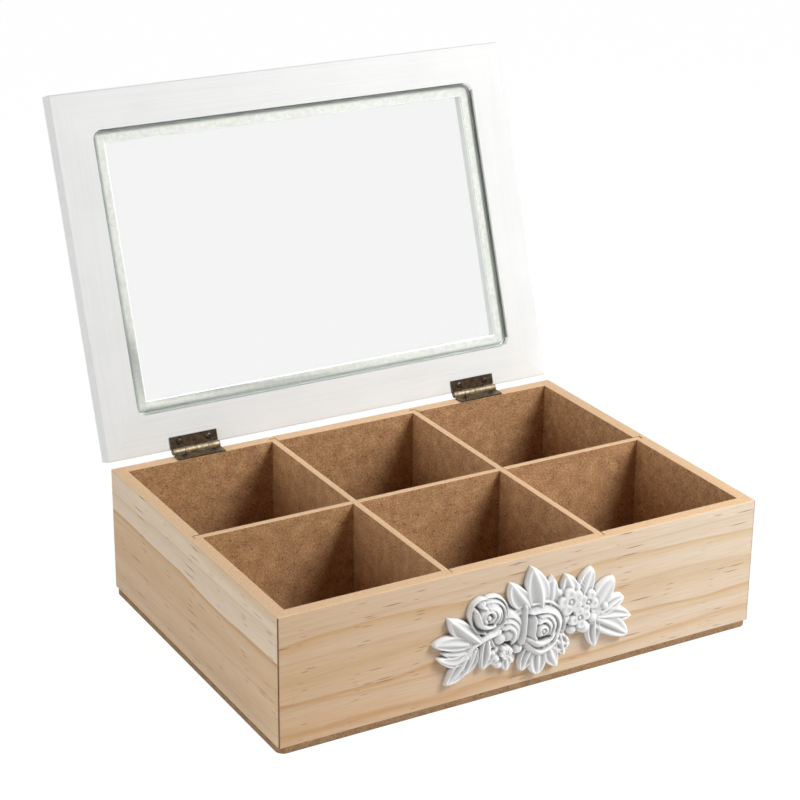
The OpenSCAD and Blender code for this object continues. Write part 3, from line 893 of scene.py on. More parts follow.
@dataclass
class Hinges:
    """Two butt hinges of rolled strip with their pins, and the cross-head screws that hold them."""

    ease: float = 0.14  # rounding of the strip's edges
    pin_ease: float = 0.2
    rubbed: float = 1.6  # the knuckles are coloured brighter, for wear and painted highlight, out to this far from the pin's axis
    end_on: float = 0.2  # a knuckle's face is one of its ends if more than this of its normal points along the pin
    straight: float = 3.0  # edges longer than this are straight ones of the strip
    bore: float = 0.9  # edges nearer to the axis than this lie inside a bore
    pitch: float = 15.0  # between a leaf's two screws
    back: float = 4.4  # from the pin's axis to the screws
    wall_top: float = 63.0  # height at which the leaves lie on the box
    leaf_t: float = 0.7
    screw: Screw = Screw()
    turns: tuple[float, ...] = (12.0, 55.0, 31.0, 74.0)  # how far each screw's cross is turned
    round_to: float = 40.0  # a screw's edges that turn less than this are shaded round

    def build(self) -> None:
        """Makes the leaves, pins and screws."""
        for side in ("left", "right"):
            # the box's leaves take a lighter plating as painted reflection
            for part, body, plating in (("box_leaf", Body.BOX, SHEEN_BRONZE), ("lid_leaf", Body.LID, BRONZE)):
                node = f"{side}_hinge_{part}"
                leaf = eased(node, f"{side}_{part}", self.ease, self.strip_edge)
                for face in leaf.data.polygons:
                    # knuckle barrels take wear and painted highlight; their ends keep the dark plating as painted
                    # shade in the gaps
                    if (face.center / MM - HINGE).yz.length < self.rubbed:
                        face.material_index = 1 if abs(face.normal.x) < self.end_on else 2
                fit(leaf, body, [plating, WORN_HIGHLIGHT_BRONZE, BRONZE], node)
            pin = eased(f"{side}_hinge_pin", f"{side}_pin", self.pin_ease, lambda a, b: True)
            fit(pin, Body.BOX, [WORN_HIGHLIGHT_BRONZE, WORN_HIGHLIGHT_BRONZE], f"{side}_hinge_pin")
        self.screws("box_leaf", Body.BOX, "box_hinge_screws")
        self.screws("lid_leaf", Body.LID, "lid_hinge_screws")

    def strip_edge(self, a: Vector, b: Vector) -> bool:
        """Says whether an edge is a straight one of the strip or a knuckle's rim, and not inside a bore."""
        return (a - b).length > self.straight or all((p - HINGE).yz.length > self.bore for p in (a, b))

    def screws(self, part: str, body: Body, node: str) -> None:
        """Makes the four screws of the leaves on one body with Geometry Nodes.

        Args:
            part: box_leaf or lid_leaf.
            body: the body that they move with.
            node: the CAD node that they stand for.
        """
        places = [
            ((low.x + high.x) / 2 + end * self.pitch * MM / 2, 0, 0)
            for low, high in (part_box(f"{side}_hinge_{part}") for side in ("left", "right"))
            for end in (-1, 1)
        ]
        points = bpy.data.meshes.new(node)
        points.from_pydata(places, [], [])
        turn = points.attributes.new("turn", "FLOAT", "POINT")
        turn.data.foreach_set("value", [math.radians(angle) for angle in self.turns])
        holder = new_object(f"{part}_screws", points)
        modifier = holder.modifiers.new("screws", "NODES")
        modifier.node_group = self.screw_tree()
        sizes = self.screw.inputs()
        for socket in modifier.node_group.interface.items_tree:
            if socket.name in sizes:
                modifier[socket.identifier] = sizes[socket.name]
        bpy.context.view_layer.update()
        depsgraph = bpy.context.evaluated_depsgraph_get()
        mesh = bpy.data.meshes.new_from_object(holder.evaluated_get(depsgraph))
        holder.modifiers.clear()
        holder.data = mesh
        mesh.transform(self.seat(body))
        smooth(mesh, self.round_to)
        fit(holder, body, [SCREW_BRONZE], node)

    def seat(self, body: Body) -> Matrix:
        """Finds where the screws of one body sit.

        Args:
            body: the body of their leaves.

        Returns:
            The move that takes screws from the origin, heads up, to their leaves.
        """
        axis = Matrix.Translation(HINGE * MM)
        lift = HINGE.z - self.wall_top - self.leaf_t
        if body is Body.BOX:
            return axis @ Matrix.Translation(Vector((0, -self.back, -lift)) * MM)
        up = Matrix.Translation(Vector((0, -self.back, lift)) * MM)
        return axis @ SWING.to_4x4() @ up @ Matrix.Rotation(math.pi, 4, "X")

    def screw_tree(self) -> bpy.types.NodeTree:
        """Builds the tree that puts a cross-head screw at every point, turned by the point's own angle.

        Returns:
            The tree, built at its first use.
        """
        found = bpy.data.node_groups.get("cross_head_screws")
        if found:
            return found
        tree = bpy.data.node_groups.new("cross_head_screws", "GeometryNodeTree")
        sockets = tree.interface
        sockets.new_socket("Geometry", in_out="INPUT", socket_type="NodeSocketGeometry")
        for name in self.screw.inputs():
            sockets.new_socket(name, in_out="INPUT", socket_type="NodeSocketFloat")
        sockets.new_socket("Geometry", in_out="OUTPUT", socket_type="NodeSocketGeometry")
        graph = Graph(tree)
        given = add(tree, "NodeGroupInput").outputs

        # domed head: the upper half of a flattened ball
        flat = graph.vector(given["Head radius"], given["Head radius"], given["Head height"])
        ball = graph.out("GeometryNodeMeshUVSphere", {"Segments": 32, "Rings": 16, "Radius": 1.0})
        cube = 10 * MM
        under = graph.out("GeometryNodeMeshCube", {"Size": (cube, cube, cube)})
        head = graph.out(
            "GeometryNodeMeshBoolean",
            {"Mesh 1": graph.moved(ball, Scale=flat), "Mesh 2": graph.moved(under, Translation=(0, 0, -cube / 2))},
            operation="DIFFERENCE",
        )

        # shank
        drop = graph.vector(0.0, 0.0, graph.math("MULTIPLY", given["Shank length"], -0.5))
        rod = {"Vertices": 20, "Radius": given["Shank radius"], "Depth": given["Shank length"]}
        shank = graph.moved(graph.out("GeometryNodeMeshCylinder", rod), Translation=drop)
        body = graph.out("GeometryNodeMeshBoolean", {"Mesh 2": [head, shank]}, operation="UNION")

        # cross recess
        deep = graph.math("MULTIPLY", given["Head height"], 1.3)
        bar = graph.vector(given["Recess length"], given["Recess width"], deep)
        lift = graph.vector(0.0, 0.0, given["Head height"])
        cross = [
            graph.moved(graph.out("GeometryNodeMeshCube", {"Size": bar}), Translation=lift, Rotation=(0, 0, quarter))
            for quarter in (0, math.pi / 2)
        ]
        cut = graph.out("GeometryNodeMeshBoolean", {"Mesh 1": body, "Mesh 2": cross}, operation="DIFFERENCE")

        turn = graph.out("GeometryNodeInputNamedAttribute", {"Name": "turn"}, "Attribute", data_type="FLOAT")
        each = {"Points": given["Geometry"], "Instance": cut, "Rotation": graph.vector(0.0, 0.0, turn)}
        placed = graph.out("GeometryNodeInstanceOnPoints", each)
        real = graph.out("GeometryNodeRealizeInstances", {"Geometry": placed})
        dressed = graph.out("GeometryNodeSetMaterial", {"Geometry": real, "Material": SCREW_BRONZE.material()})
        add(tree, "NodeGroupOutput", {0: dressed})
        return tree


# ---------------------------------------------------------------- applique


def curve(points: Sequence[tuple[float, ...]], pieces: int = 8) -> np.ndarray:
    """Runs a smooth line through a few points.

    Args:
        points: the points, each x, z and height.
        pieces: stretches between two of them.

    Returns:
        An array of the line's points, with the same columns.
    """
    p = np.array(points, float)
    p = np.vstack([2 * p[0] - p[1], p, 2 * p[-1] - p[-2]])
    s = np.linspace(0, 1, pieces, endpoint=False)[:, None]
    run = [
        0.5 * (2 * b + (c - a) * s + (2 * a - 5 * b + 4 * c - d) * s**2 + (3 * b - a - 3 * c + d) * s**3)
        for a, b, c, d in zip(p, p[1:], p[2:], p[3:])
    ]
    return np.vstack([*run, p[-2:-1]])


def blurred(values: np.ndarray, sigma: float) -> np.ndarray:
    """Softens a grid with a Gaussian.

    Args:
        values: the grid.
        sigma: the Gaussian's size in cells.

    Returns:
        The softened grid.
    """
    reach = int(3 * sigma) + 1
    weights = np.exp(-0.5 * (np.arange(-reach, reach + 1) / sigma) ** 2)
    weights /= weights.sum()
    for axis in (0, 1):
        wide = np.pad(values, [(reach, reach) if a == axis else (0, 0) for a in (0, 1)], mode="edge")
        size = values.shape[axis]
        values = sum(w * np.take(wide, range(i, i + size), axis=axis) for i, w in enumerate(weights))
    return values


@dataclass
class Relief:
    """Height of the carving above the wall, on a fine grid over the front face."""

    x_range: tuple[float, float] = (-52.0, 54.0)
    z_range: tuple[float, float] = (5.0, 62.0)
    pitch: float = 0.2
    floor: float = -1.2  # height where there is no casting
    draft: float = 6.0  # steepness of the casting's outer walls

    def __post_init__(self) -> None:
        """Lays out the grid."""
        xs = np.arange(*self.x_range, self.pitch)
        zs = np.arange(*self.z_range, self.pitch)
        self.x, self.z = np.meshgrid(xs, zs, indexing="ij")
        self.height = np.full(self.x.shape, self.floor)

    def near(self, line: np.ndarray, margin: float) -> tuple[tuple[slice, slice], np.ndarray, np.ndarray, np.ndarray]:
        """Measures the grid about a line.

        Args:
            line: the line's points: x, z and height.
            margin: how far about it to look.

        Returns:
            The window of the grid, and in it each point's signed distance (positive to the line's left), its share
            of the way along, and the line's height there.
        """
        low = line[:, :2].min(0) - margin
        high = line[:, :2].max(0) + margin
        i = np.clip(np.searchsorted(self.x[:, 0], [low[0], high[0]]), 0, self.x.shape[0])
        j = np.clip(np.searchsorted(self.z[0], [low[1], high[1]]), 0, self.x.shape[1])
        window = (slice(*i), slice(*j))
        x, z = self.x[window], self.z[window]
        best = np.full(x.shape, 1e9)
        side, share, height = np.ones(x.shape), np.zeros(x.shape), np.zeros(x.shape)
        for k, (a, b) in enumerate(zip(line, line[1:])):
            d = b - a
            t = ((x - a[0]) * d[0] + (z - a[1]) * d[1]) / (d[0] ** 2 + d[1] ** 2)
            t = np.clip(t, 0, 1)
            away = np.hypot(x - a[0] - t * d[0], z - a[1] - t * d[1])
            closer = away < best
            best = np.where(closer, away, best)
            turn = d[0] * (z - a[1]) - d[1] * (x - a[0])
            side = np.where(closer, np.where(turn < 0, -1.0, 1.0), side)
            share = np.where(closer, (k + t) / (len(line) - 1), share)
            height = np.where(closer, a[2] + t * d[2], height)
        return window, side * best, share, height

    def raise_to(self, window: tuple[slice, slice], height: np.ndarray) -> None:
        """Raises the relief to a form's height, where the form is higher."""
        self.height[window] = np.maximum(self.height[window], height)

    def sink(self, x: float, z: float, r: float, depth: float) -> None:
        """Sinks a round hollow of radius r and the given depth at a point."""
        away = np.hypot(self.x - x, self.z - z)
        self.height -= depth * np.clip(1.2 - (away / r) ** 2, 0, 1)


@dataclass
class Leaf:
    """A leaf or petal from base to tip: raised margins, hollow cheeks, a ridge, and ribs or side veins."""

    base: tuple[float, float]
    tip: tuple[float, float]
    width: float
    bow: float = 0.0
    edge: float = 3.0  # height of its margins
    ridge: float = 1.5  # how far the ridge stands above them
    crest: float = 0.0  # where the ridge lies across it, from -1 to 1
    ribs: int = 0  # flutes that run from base to tip
    veins: float = 0.0  # depth of the side veins
    blunt: float = 0.8  # below 1 the tip is rounder
    fall: float = 0.4  # how far the tip lies below the base
    margin: Triple = (0.45, 0.86, 0.13)  # of the raised margins: height, place and width; 1 is half the leaf's width
    cheek: Triple = (0.35, 0.5, 0.25)  # of the hollow cheeks: depth, and place and width between ridge and margin
    flute: float = 0.42  # height of the ribs
    vein_pitch: float = 1.7
    vein_slant: float = 0.75  # how far a vein runs on towards the tip for each millimetre across

    def carve(self, relief: Relief) -> None:
        """Adds the leaf to the relief.

        Args:
            relief: the carving that it joins.
        """
        a, b = Vector(self.base), Vector(self.tip)
        run = b - a
        out = Vector((-run.y, run.x)).normalized() * self.bow
        middle = (a + b) / 2 + out
        line = curve([(*a, 0.0), (*middle, 0.0), (*b, 0.0)], 10)
        window, away, s, _ = relief.near(line, self.width)
        half = self.width / 2 * np.sin(np.pi * (0.17 + 0.83 * s)) ** self.blunt  # some half of the width at the base
        half = np.maximum(half, 0.02)  # and never quite nothing at the tip
        u = away / half
        off = np.abs(u - self.crest) / np.where(u > self.crest, 1 - self.crest, 1 + self.crest)
        off = np.clip(off, 0, 1)
        lift = np.sin(np.pi * np.clip(0.25 + 0.7 * s, 0, 1))  # fullest at a third of its length
        shape = self.ridge * lift * (1 - off) ** 1.3
        high, place, width = self.margin
        shape += high * lift * np.exp(-(((np.abs(u) - place) / width) ** 2))
        deep, place, width = self.cheek
        shape -= deep * lift * np.exp(-(((off - place) / width) ** 2))
        if self.ribs:
            shape += self.flute * lift * np.cos(2 * np.pi * self.ribs * np.clip(u, -1, 1) / 2)
        if self.veins:
            phase = (s * run.length - self.vein_slant * np.abs(away)) / self.vein_pitch
            shape -= self.veins * lift * np.abs(np.sin(np.pi * phase)) * np.clip(off * 3, 0, 1)
        height = self.edge - self.fall * s + shape
        outside = np.maximum(np.abs(away) - half, 0)
        height -= relief.draft * outside
        height = np.where(outside > 0, np.minimum(height, self.edge - self.fall * s - relief.draft * outside), height)
        relief.raise_to(window, height)


@dataclass
class Lip:
    """The lip of a rose petal: a line with the rose's middle on its left, steep inside and sloping outside."""

    points: tuple[Triple, ...]
    outside: float = 0.45  # slope of the petal's back
    inside: float = 4.0  # steepness of the drop into the rose
    swell: float = 0.14  # how fast the back falls away
    round: float = 0.35  # roundness of the lip
    reach: float = 7.0  # how far from the lip the petal goes

    def carve(self, relief: Relief, at: tuple[float, float]) -> None:
        """Adds the petal to the relief.

        Args:
            relief: the carving that it joins.
            at: the rose's middle, from which the petal's points are measured.
        """
        line = curve([(x + at[0], z + at[1], h) for x, z, h in self.points], 8)
        window, away, s, top = relief.near(line, self.reach)
        fade = 1 + 2.0 * np.clip(np.abs(s - 0.5) * 2 - 0.8, 0, 1)  # the back is steeper at the lip's ends
        back = self.outside * fade * np.abs(away) + self.swell * away**2
        front = self.inside * np.abs(away)
        fall = np.where(away > 0, front, back)
        relief.raise_to(window, top - np.sqrt(fall**2 + self.round**2) + self.round)


@dataclass
class Bead:
    """A round berry or bump."""

    x: float
    z: float
    r: float
    top: float

    def carve(self, relief: Relief) -> None:
        """Adds the berry to the relief.

        Args:
            relief: the carving that it joins.
        """
        away = np.hypot(relief.x - self.x, relief.z - self.z)
        ball = np.sqrt(np.clip(self.r**2 - away**2, 0, None))
        height = np.where(away < self.r, self.top - self.r + ball, self.top - self.r - relief.draft * (away - self.r))
        relief.height = np.maximum(relief.height, height)


@dataclass
class Stroke:
    """A round-backed strip along a line, such as a stem."""

    points: tuple[Triple, ...]
    width: float

    def carve(self, relief: Relief) -> None:
        """Adds the strip to the relief.

        Args:
            relief: the carving that it joins.
        """
        window, away, _, top = relief.near(curve(self.points), self.width + 1)
        half = self.width / 2
        u = np.abs(away) / half
        height = top - 0.9 * half * u**2 - relief.draft * np.clip(np.abs(away) - half, 0, None)
        relief.raise_to(window, height)


@dataclass
class Blossom:
    """A small open flower: round cupped petals about an eye."""

    x: float
    z: float
    r: float
    top: float
    petals: int = 5
    turn: float = 0.0
    out: float = 0.6  # from the eye to a petal's middle, as a share of r
    petal: float = 0.44  # radius of a petal, as a share of r
    pit: float = 0.3  # radius of the hollow about the eye, as a share of r
    eye: float = 0.17  # radius of the eye, as a share of r

    def carve(self, relief: Relief) -> None:
        """Adds the flower to the relief.

        Args:
            relief: the carving that it joins.
        """
        for k in range(self.petals):
            angle = math.radians(self.turn + 360 / self.petals * k)
            cx = self.x + self.out * self.r * math.cos(angle)
            cz = self.z + self.out * self.r * math.sin(angle)
            petal_r = self.petal * self.r
            away = np.hypot(relief.x - cx, relief.z - cz) / petal_r
            cup = self.top - 0.5 * away**2 - 0.6 * np.exp(-((2 * away) ** 2))
            height = np.where(away < 1, cup, self.top - 0.5 - relief.draft * petal_r * (away - 1))
            relief.height = np.maximum(relief.height, height)
        relief.sink(self.x, self.z, self.pit * self.r, 0.9)
        Bead(self.x, self.z, self.eye * self.r, self.top - 0.3).carve(relief)


@dataclass
class RoseApplique:
    """The cast rose applique: two open roses, a half-open one, blossoms and berries among sprays of leaves."""

    plane: float = -85.0  # the wall's face
    relief: Relief = field(default_factory=Relief)
    soften: float = 0.9  # grid cells over which the carving's arrises are softened
    hollow_size: float = 0.8  # size of the hollows that take painted shade
    thinnest: float = -0.9  # relief below this isn't cast

    def build(self) -> None:
        """Makes the casting."""
        for form in (*self.background(), *self.leaves(), *self.flowers()):
            form.carve(self.relief)
        self.half_open_rose()
        self.left_rose((-23.5, 42.3))
        self.middle_rose((3.6, 29.3))
        self.relief.sink(-18.9, 24.2, 1.3, 7.0)  # the gap between the stem and the berries
        fit(self.mesh(), Body.BOX, [RESIN], "rose_applique")

    def background(self) -> list[Stroke]:
        """Returns the thin body of the casting behind the flowers, which carries them all."""
        return [
            Stroke(((-34, 29, 1.6), (-22, 36, 2.0), (-8, 33, 2.4), (6, 31, 2.4), (20, 33, 2.4), (36, 29, 1.8)), 14),
            Stroke(((-20, 23, 1.6), (-12, 22, 2.2), (0, 22, 2.2), (14, 23, 2.0)), 9),
            Stroke(((0, 38, 2.0), (10, 42, 2.0), (22, 40, 2.0), (31, 37, 2.0)), 8),
        ]

    def leaves(self) -> list[Leaf | Stroke]:
        """Returns the leaves, the hindmost first."""
        return [
            # upper leaves, from the left
            Leaf((-2.4, 40.4), (-10.6, 53.1), 8.6, 0.8, crest=-0.25, ridge=1.6),
            Leaf((3.6, 38.4), (-0.2, 58.4), 11.6, -0.6, edge=3.2, ridge=2.6, crest=-0.12),
            Leaf((8, 38), (10.6, 51.7), 8.8, 0.2, ridge=1.6, crest=-0.15),
            Leaf((19.5, 38.5), (17.4, 50.6), 9.0, -0.6, ridge=1.6, crest=-0.1, blunt=0.7),
            Leaf((25.2, 37.5), (30.8, 51.2), 8.8, 0.3, ridge=1.2, crest=0.1, veins=0.3, blunt=0.55),
            Leaf((33, 32.5), (42.6, 43.8), 9.6, 0.4, ridge=0.9, crest=0.0, blunt=0.6),
            # right spray
            Leaf((35.6, 28.4), (48.2, 33.2), 7.6, 0.6, ribs=3, ridge=0.8, blunt=0.5),
            Leaf((33.6, 27), (52.6, 23.0), 9.0, 0.4, ribs=3, ridge=0.8),
            Leaf((33.4, 26), (50.8, 14.3), 10.0, 0.6, ribs=3, ridge=1.2, crest=0.2, blunt=0.55),
            Leaf((32.2, 26.5), (33.5, 12.2), 6.8, -0.5, ribs=2, ridge=1.0),
            # left spray
            Leaf((-27.4, 30.4), (-41.0, 43.5), 8.8, 0.6, ridge=1.8, crest=-0.2, ribs=1),
            Leaf((-32.4, 30.4), (-48.4, 33.3), 6.6, -0.4, ridge=1.2, blunt=0.6),
            Leaf((-31, 26.2), (-43.8, 28.0), 4.4, 0.8, ridge=0.8, edge=2.6),
            Leaf((-31, 25.2), (-46.0, 26.0), 5.0, 2.6, ridge=0.9, crest=0.2),
            Leaf((-32.4, 24), (-42.3, 12.7), 7.2, 0.8, ribs=2, ridge=0.9),
            Leaf((-28.4, 26), (-34.2, 15.4), 6.2, 0.6, ribs=2, ridge=0.8),
            Leaf((-22, 29), (-24.4, 15.6), 7.2, 1.2, ribs=2, ridge=1.0),
            # leaves under the middle rose
            Leaf((0.6, 21.5), (-4.4, 10.1), 7.0, -0.4, ribs=2, ridge=0.6, blunt=0.6),
            Leaf((10.5, 22.5), (20.2, 17.0), 8.0, -0.6, ribs=2, ridge=0.6, blunt=0.5),
            Leaf((14.5, 23.5), (17.5, 12.4), 6.4, -0.3, ribs=2, ridge=0.8),
            Leaf((8.5, 19.5), (14.0, 7.7), 7.2, -0.5, ridge=1.4),
            Leaf((3.5, 19.5), (4.0, 6.4), 9.6, 0.0, ribs=3, ridge=0.6, blunt=0.5),
            # stem of the left spray, and the strip that closes the gap below it
            Stroke(((-17, 32.5, 4.6), (-24, 30.8, 4.4), (-29.5, 28.2, 4.0), (-33, 25, 3.4), (-37, 21.5, 2.8)), 2.6),
            Stroke(((-22.3, 29, 3.2), (-22.3, 23.5, 3.0), (-20.2, 19.3, 2.8), (-16, 15.2, 2.6)), 2.0),
        ]

    def flowers(self) -> list[Blossom | Bead | Leaf]:
        """Returns the blossoms, berries and small lobes."""
        return [
            # right of the middle rose
            Bead(22.8, 43.4, 1.7, 4.0),
            Blossom(18.6, 38.6, 6.2, 5.6, turn=28),
            Blossom(28.0, 36.2, 5.4, 5.0, petals=4, turn=65),
            Blossom(23.6, 29.8, 5.2, 5.4, petals=4, turn=12),
            Bead(17.0, 30.6, 2.6, 4.4),
            Bead(20.6, 24.6, 2.7, 4.4),
            Bead(27.0, 23.9, 3.0, 4.8),
            Bead(31.0, 27.6, 2.6, 4.6),
            Bead(37.4, 31.8, 2.1, 4.2),
            Bead(13.9, 43.0, 2.0, 3.8),
            # between the roses and below
            Leaf((-4, 40.5), (-10.5, 38.0), 5.4, 0.6, edge=3.2, ridge=1.0, blunt=0.5),
            Bead(-16.0, 29.0, 3.2, 4.4),
            Bead(-17.6, 19.4, 2.1, 3.6),
            Bead(-16.2, 16.2, 1.9, 3.4),
            Leaf((-12.6, 20), (-11.8, 11.8), 4.6, 0.0, edge=2.4, ridge=1.2, blunt=0.6),
            Leaf((-12.4, 20), (-15.4, 15.0), 4.2, 0.0, edge=2.4, ridge=0.8, blunt=0.5),
            Leaf((-12.0, 20), (-8.6, 15.2), 4.2, 0.0, edge=2.4, ridge=0.8, blunt=0.5),
            Blossom(-12.9, 21.6, 3.0, 4.4, petals=6, turn=10),
            Bead(-7.0, 22.0, 2.6, 4.2),
        ]

    def half_open_rose(self) -> None:
        """Carves the half-open rose between the two open ones."""
        at = (-11.6, 31.0)
        Bead(at[0], at[1] - 0.5, 4.6, 4.6).carve(self.relief)
        for lip in (
            Lip(((4.6, -1, 4.4), (4.4, 3.5, 4.8), (1.2, 7.0, 4.6), (-1.5, 7.2, 4.0))),
            Lip(((3.2, -3, 4.6), (3.0, 1.5, 5.2), (0.4, 4.6, 5.0), (-2.0, 4.8, 4.6))),
            Lip(((1.6, -4, 4.8), (1.6, 0.0, 5.4), (-0.6, 2.4, 5.4), (-2.6, 2.2, 5.0))),
        ):
            lip.carve(self.relief, at)

    def dome(self, at: tuple[float, float], r: float, top: float) -> None:
        """Raises the floor of a rose, a low dome.

        Args:
            at: the dome's middle.
            r: its radius.
            top: its height.
        """
        away = np.hypot(self.relief.x - at[0], self.relief.z - at[1]) / r
        floor = np.where(away < 1, top * (1 - 0.55 * away**2), top * 0.45 - self.relief.draft * r * (away - 1))
        self.relief.height = np.maximum(self.relief.height, floor)

    def left_rose(self, at: tuple[float, float]) -> None:
        """Carves the open rose on the left.

        Args:
            at: its middle.
        """
        self.dome((at[0] + 1.4, at[1] - 1.2), 7.2, 2.4)
        for lip in (
            # outer petals, from the right round to the left
            Lip(((10.0, -7.0, 3.4), (11.0, 0.0, 3.8), (9.2, 4.2, 3.8), (5.4, 7.0, 3.8), (1.0, 7.6, 3.6)), 5.0, 3.0),
            Lip(((4.0, -9.4, 4.0), (8.4, -5.8, 4.8), (9.2, -0.8, 5.0), (7.4, 3.0, 5.0), (3.6, 5.6, 4.9),
                 (-0.8, 5.9, 4.6)), 2.6),
            Lip(((0.8, 7.2, 3.6), (-2.9, 7.3, 3.8), (-5.9, 5.6, 3.8), (-7.3, 2.4, 4.0), (-7.3, -1.4, 4.2),
                 (-6.2, -4.9, 4.4), (-3.7, -7.6, 4.2), (0.2, -9.4, 4.0)), 5.0, 3.0),
            # inner petals
            Lip(((5.6, -4.4, 5.6), (6.6, -1.2, 6.0), (5.4, 1.9, 6.0), (2.2, 4.0, 6.0), (-0.6, 4.0, 5.8)), 1.8),
            Lip(((-1.4, 5.8, 5.6), (-2.8, 5.0, 6.2), (-1.2, 4.2, 6.8), (-1.8, 2.8, 6.8), (-3.4, 1.6, 6.6),
                 (-4.0, 0.0, 6.4)), 2.4),
            Lip(((-4.9, 2.8, 6.0), (-4.2, -0.2, 6.6), (-2.6, -3.2, 6.8), (0.6, -5.2, 6.6), (3.4, -5.0, 6.2)), 1.6),
            Lip(((3.0, -3.2, 6.6), (4.2, -0.4, 7.0), (3.0, 2.4, 7.0), (0.4, 3.4, 6.8)), 0.8),
            self.ring(2.4, 7.2),
        ):
            lip.carve(self.relief, at)
        Bead(at[0] - 0.4, at[1] - 0.2, 1.15, 7.3).carve(self.relief)

    def middle_rose(self, at: tuple[float, float]) -> None:
        """Carves the open rose in the middle.

        Args:
            at: its middle.
        """
        self.dome((at[0] + 0.8, at[1] - 0.4), 10.6, 3.4)
        for lip in (
            # outer petals
            Lip(((12.1, -6.6, 3.8), (13.1, -0.4, 4.6), (10.9, 5.9, 5.0), (7.1, 10.3, 5.2), (2.8, 12.7, 5.2),
                 (-4.4, 12.5, 4.8)), 4.5, 1.6),
            Lip(((-6.8, -4.6, 4.8), (-3.2, -8.6, 5.0), (0.8, -11.0, 5.0), (5.8, -9.6, 4.8), (9.0, -6.0, 4.4)), 0.6),
            Lip(((7.4, -5.0, 5.6), (8.6, 0.8, 6.2), (6.4, 5.6, 6.4), (1.2, 8.2, 6.4), (-4.6, 8.4, 6.0)), 0.6),
            Lip(((-7.4, 12.0, 5.6), (-8.1, 6.0, 6.4), (-8.5, 0.0, 6.4), (-8.9, -4.2, 5.6)), 0.9, 3.0),
            # inner petals
            Lip(((-5.6, -3.0, 6.2), (-0.6, -6.0, 6.6), (3.6, -5.4, 6.6), (6.0, -3.4, 6.2)), 0.7),
            Lip(((4.8, -3.2, 6.4), (5.8, 1.2, 6.8), (3.2, 5.6, 6.8), (-0.6, 6.2, 6.4)), 0.8),
            Lip(((-3.0, 6.2, 6.4), (-3.6, 2.4, 7.0), (-3.9, -1.0, 7.0), (-2.6, -3.6, 6.6)), 0.9),
            Lip(((3.2, -1.8, 7.0), (3.4, 1.6, 7.4), (0.8, 4.4, 7.4), (-2.0, 3.8, 7.2)), 0.9),
            self.ring(1.7, 7.5),
        ):
            lip.carve(self.relief, at)
        Bead(at[0], at[1], 0.9, 7.5).carve(self.relief)

    def ring(self, r: float, top: float) -> Lip:
        """Returns the rolled petal at a rose's heart, an open ring of radius r."""
        around = [math.radians(a) for a in (-60, 0, 60, 120, 180, 240)]
        return Lip(tuple((r * math.cos(a), r * math.sin(a), top) for a in around), 0.9, 2.6, 0.2, 0.25)

    def mesh(self) -> bpy.types.Object:
        """Turns the relief into a closed mesh that sits on the wall.

        Returns:
            The casting.
        """
        relief = self.relief
        height = blurred(relief.height, self.soften)
        # how deep each point lies in a hollow, which the casting's material turns into painted shade
        hollow = blurred(height, self.hollow_size / relief.pitch) - height
        nx, nz = height.shape
        used = height > self.thinnest
        cell = used[:-1, :-1] | used[1:, :-1] | used[:-1, 1:] | used[1:, 1:]
        index = np.arange(nx * nz).reshape(nx, nz)
        quads = np.stack([index[:-1, :-1], index[1:, :-1], index[1:, 1:], index[:-1, 1:]], axis=-1)[cell]
        keep = np.unique(quads)
        renumber = np.zeros(nx * nz, int)
        renumber[keep] = np.arange(len(keep))
        points = np.stack([relief.x, self.plane - height, relief.z], axis=-1).reshape(-1, 3)[keep] * MM
        mesh = bpy.data.meshes.new("rose_casting")
        mesh.from_pydata(points.tolist(), [], renumber[quads].tolist())
        mesh.attributes.new("hollow", "FLOAT", "POINT").data.foreach_set("value", hollow.reshape(-1)[keep])

        bm = bmesh.new()
        bm.from_mesh(mesh)
        whole = [*bm.verts, *bm.edges, *bm.faces]
        bmesh.ops.bisect_plane(
            bm, geom=whole, dist=1e-7, plane_co=(0, self.plane * MM, 0), plane_no=(0, 1, 0), clear_outer=True
        )
        self.drop_crumbs(bm)
        rim = [e for e in bm.edges if e.is_boundary]
        bmesh.ops.triangle_fill(bm, use_beauty=True, use_dissolve=False, edges=rim, normal=(0, 1, 0))
        bmesh.ops.recalc_face_normals(bm, faces=bm.faces)
        bm.to_mesh(mesh)
        bm.free()
        mesh.polygons.foreach_set("use_smooth", [True] * len(mesh.polygons))
        return new_object("rose_casting", mesh)

    @staticmethod
    def drop_crumbs(bm: bmesh.types.BMesh, least: int = 400) -> None:
        """Deletes loose islands.

        Args:
            bm: the mesh.
            least: number of faces from which an island stays.
        """
        bm.faces.ensure_lookup_table()
        seen: set[int] = set()
        crumbs: list[bmesh.types.BMFace] = []
        for start in bm.faces:
            if start.index in seen:
                continue
            seen.add(start.index)
            island, queue = [start], [start]
            while queue:
                for edge in queue.pop().edges:
                    for face in edge.link_faces:
                        if face.index not in seen:
                            seen.add(face.index)
                            island.append(face)
                            queue.append(face)
            if len(island) < least:
                crumbs += island
        bmesh.ops.delete(bm, geom=crumbs, context="FACES")


# ---------------------------------------------------------------- studio


@dataclass(frozen=True)
class Lamp:
    """A round soft lamp."""

    name: str
    place: Triple
    size: float  # its diameter
    power: float  # in watts
    aim: Triple = (0.0, 0.0, 60.0)  # the point that it faces
    spread: float = 180.0  # over which its light fades
    mirrored: bool = True  # whether glass and metal show it

    def hang(self) -> None:
        """Adds the lamp to the scene."""
        light = bpy.data.lights.new(self.name, "AREA")
        light.shape = "DISK"
        light.size = self.size * MM
        light.energy = self.power
        light.spread = math.radians(self.spread)
        holder = bpy.data.objects.new(self.name, light)
        holder.visible_transmission = False  # glass shows the backdrop and no lamp
        holder.visible_glossy = self.mirrored
        holder.location = Vector(self.place) * MM
        holder.rotation_euler = (Vector(self.aim) - Vector(self.place)).to_track_quat("-Z", "Y").to_euler()
        bpy.context.scene.collection.objects.link(holder)


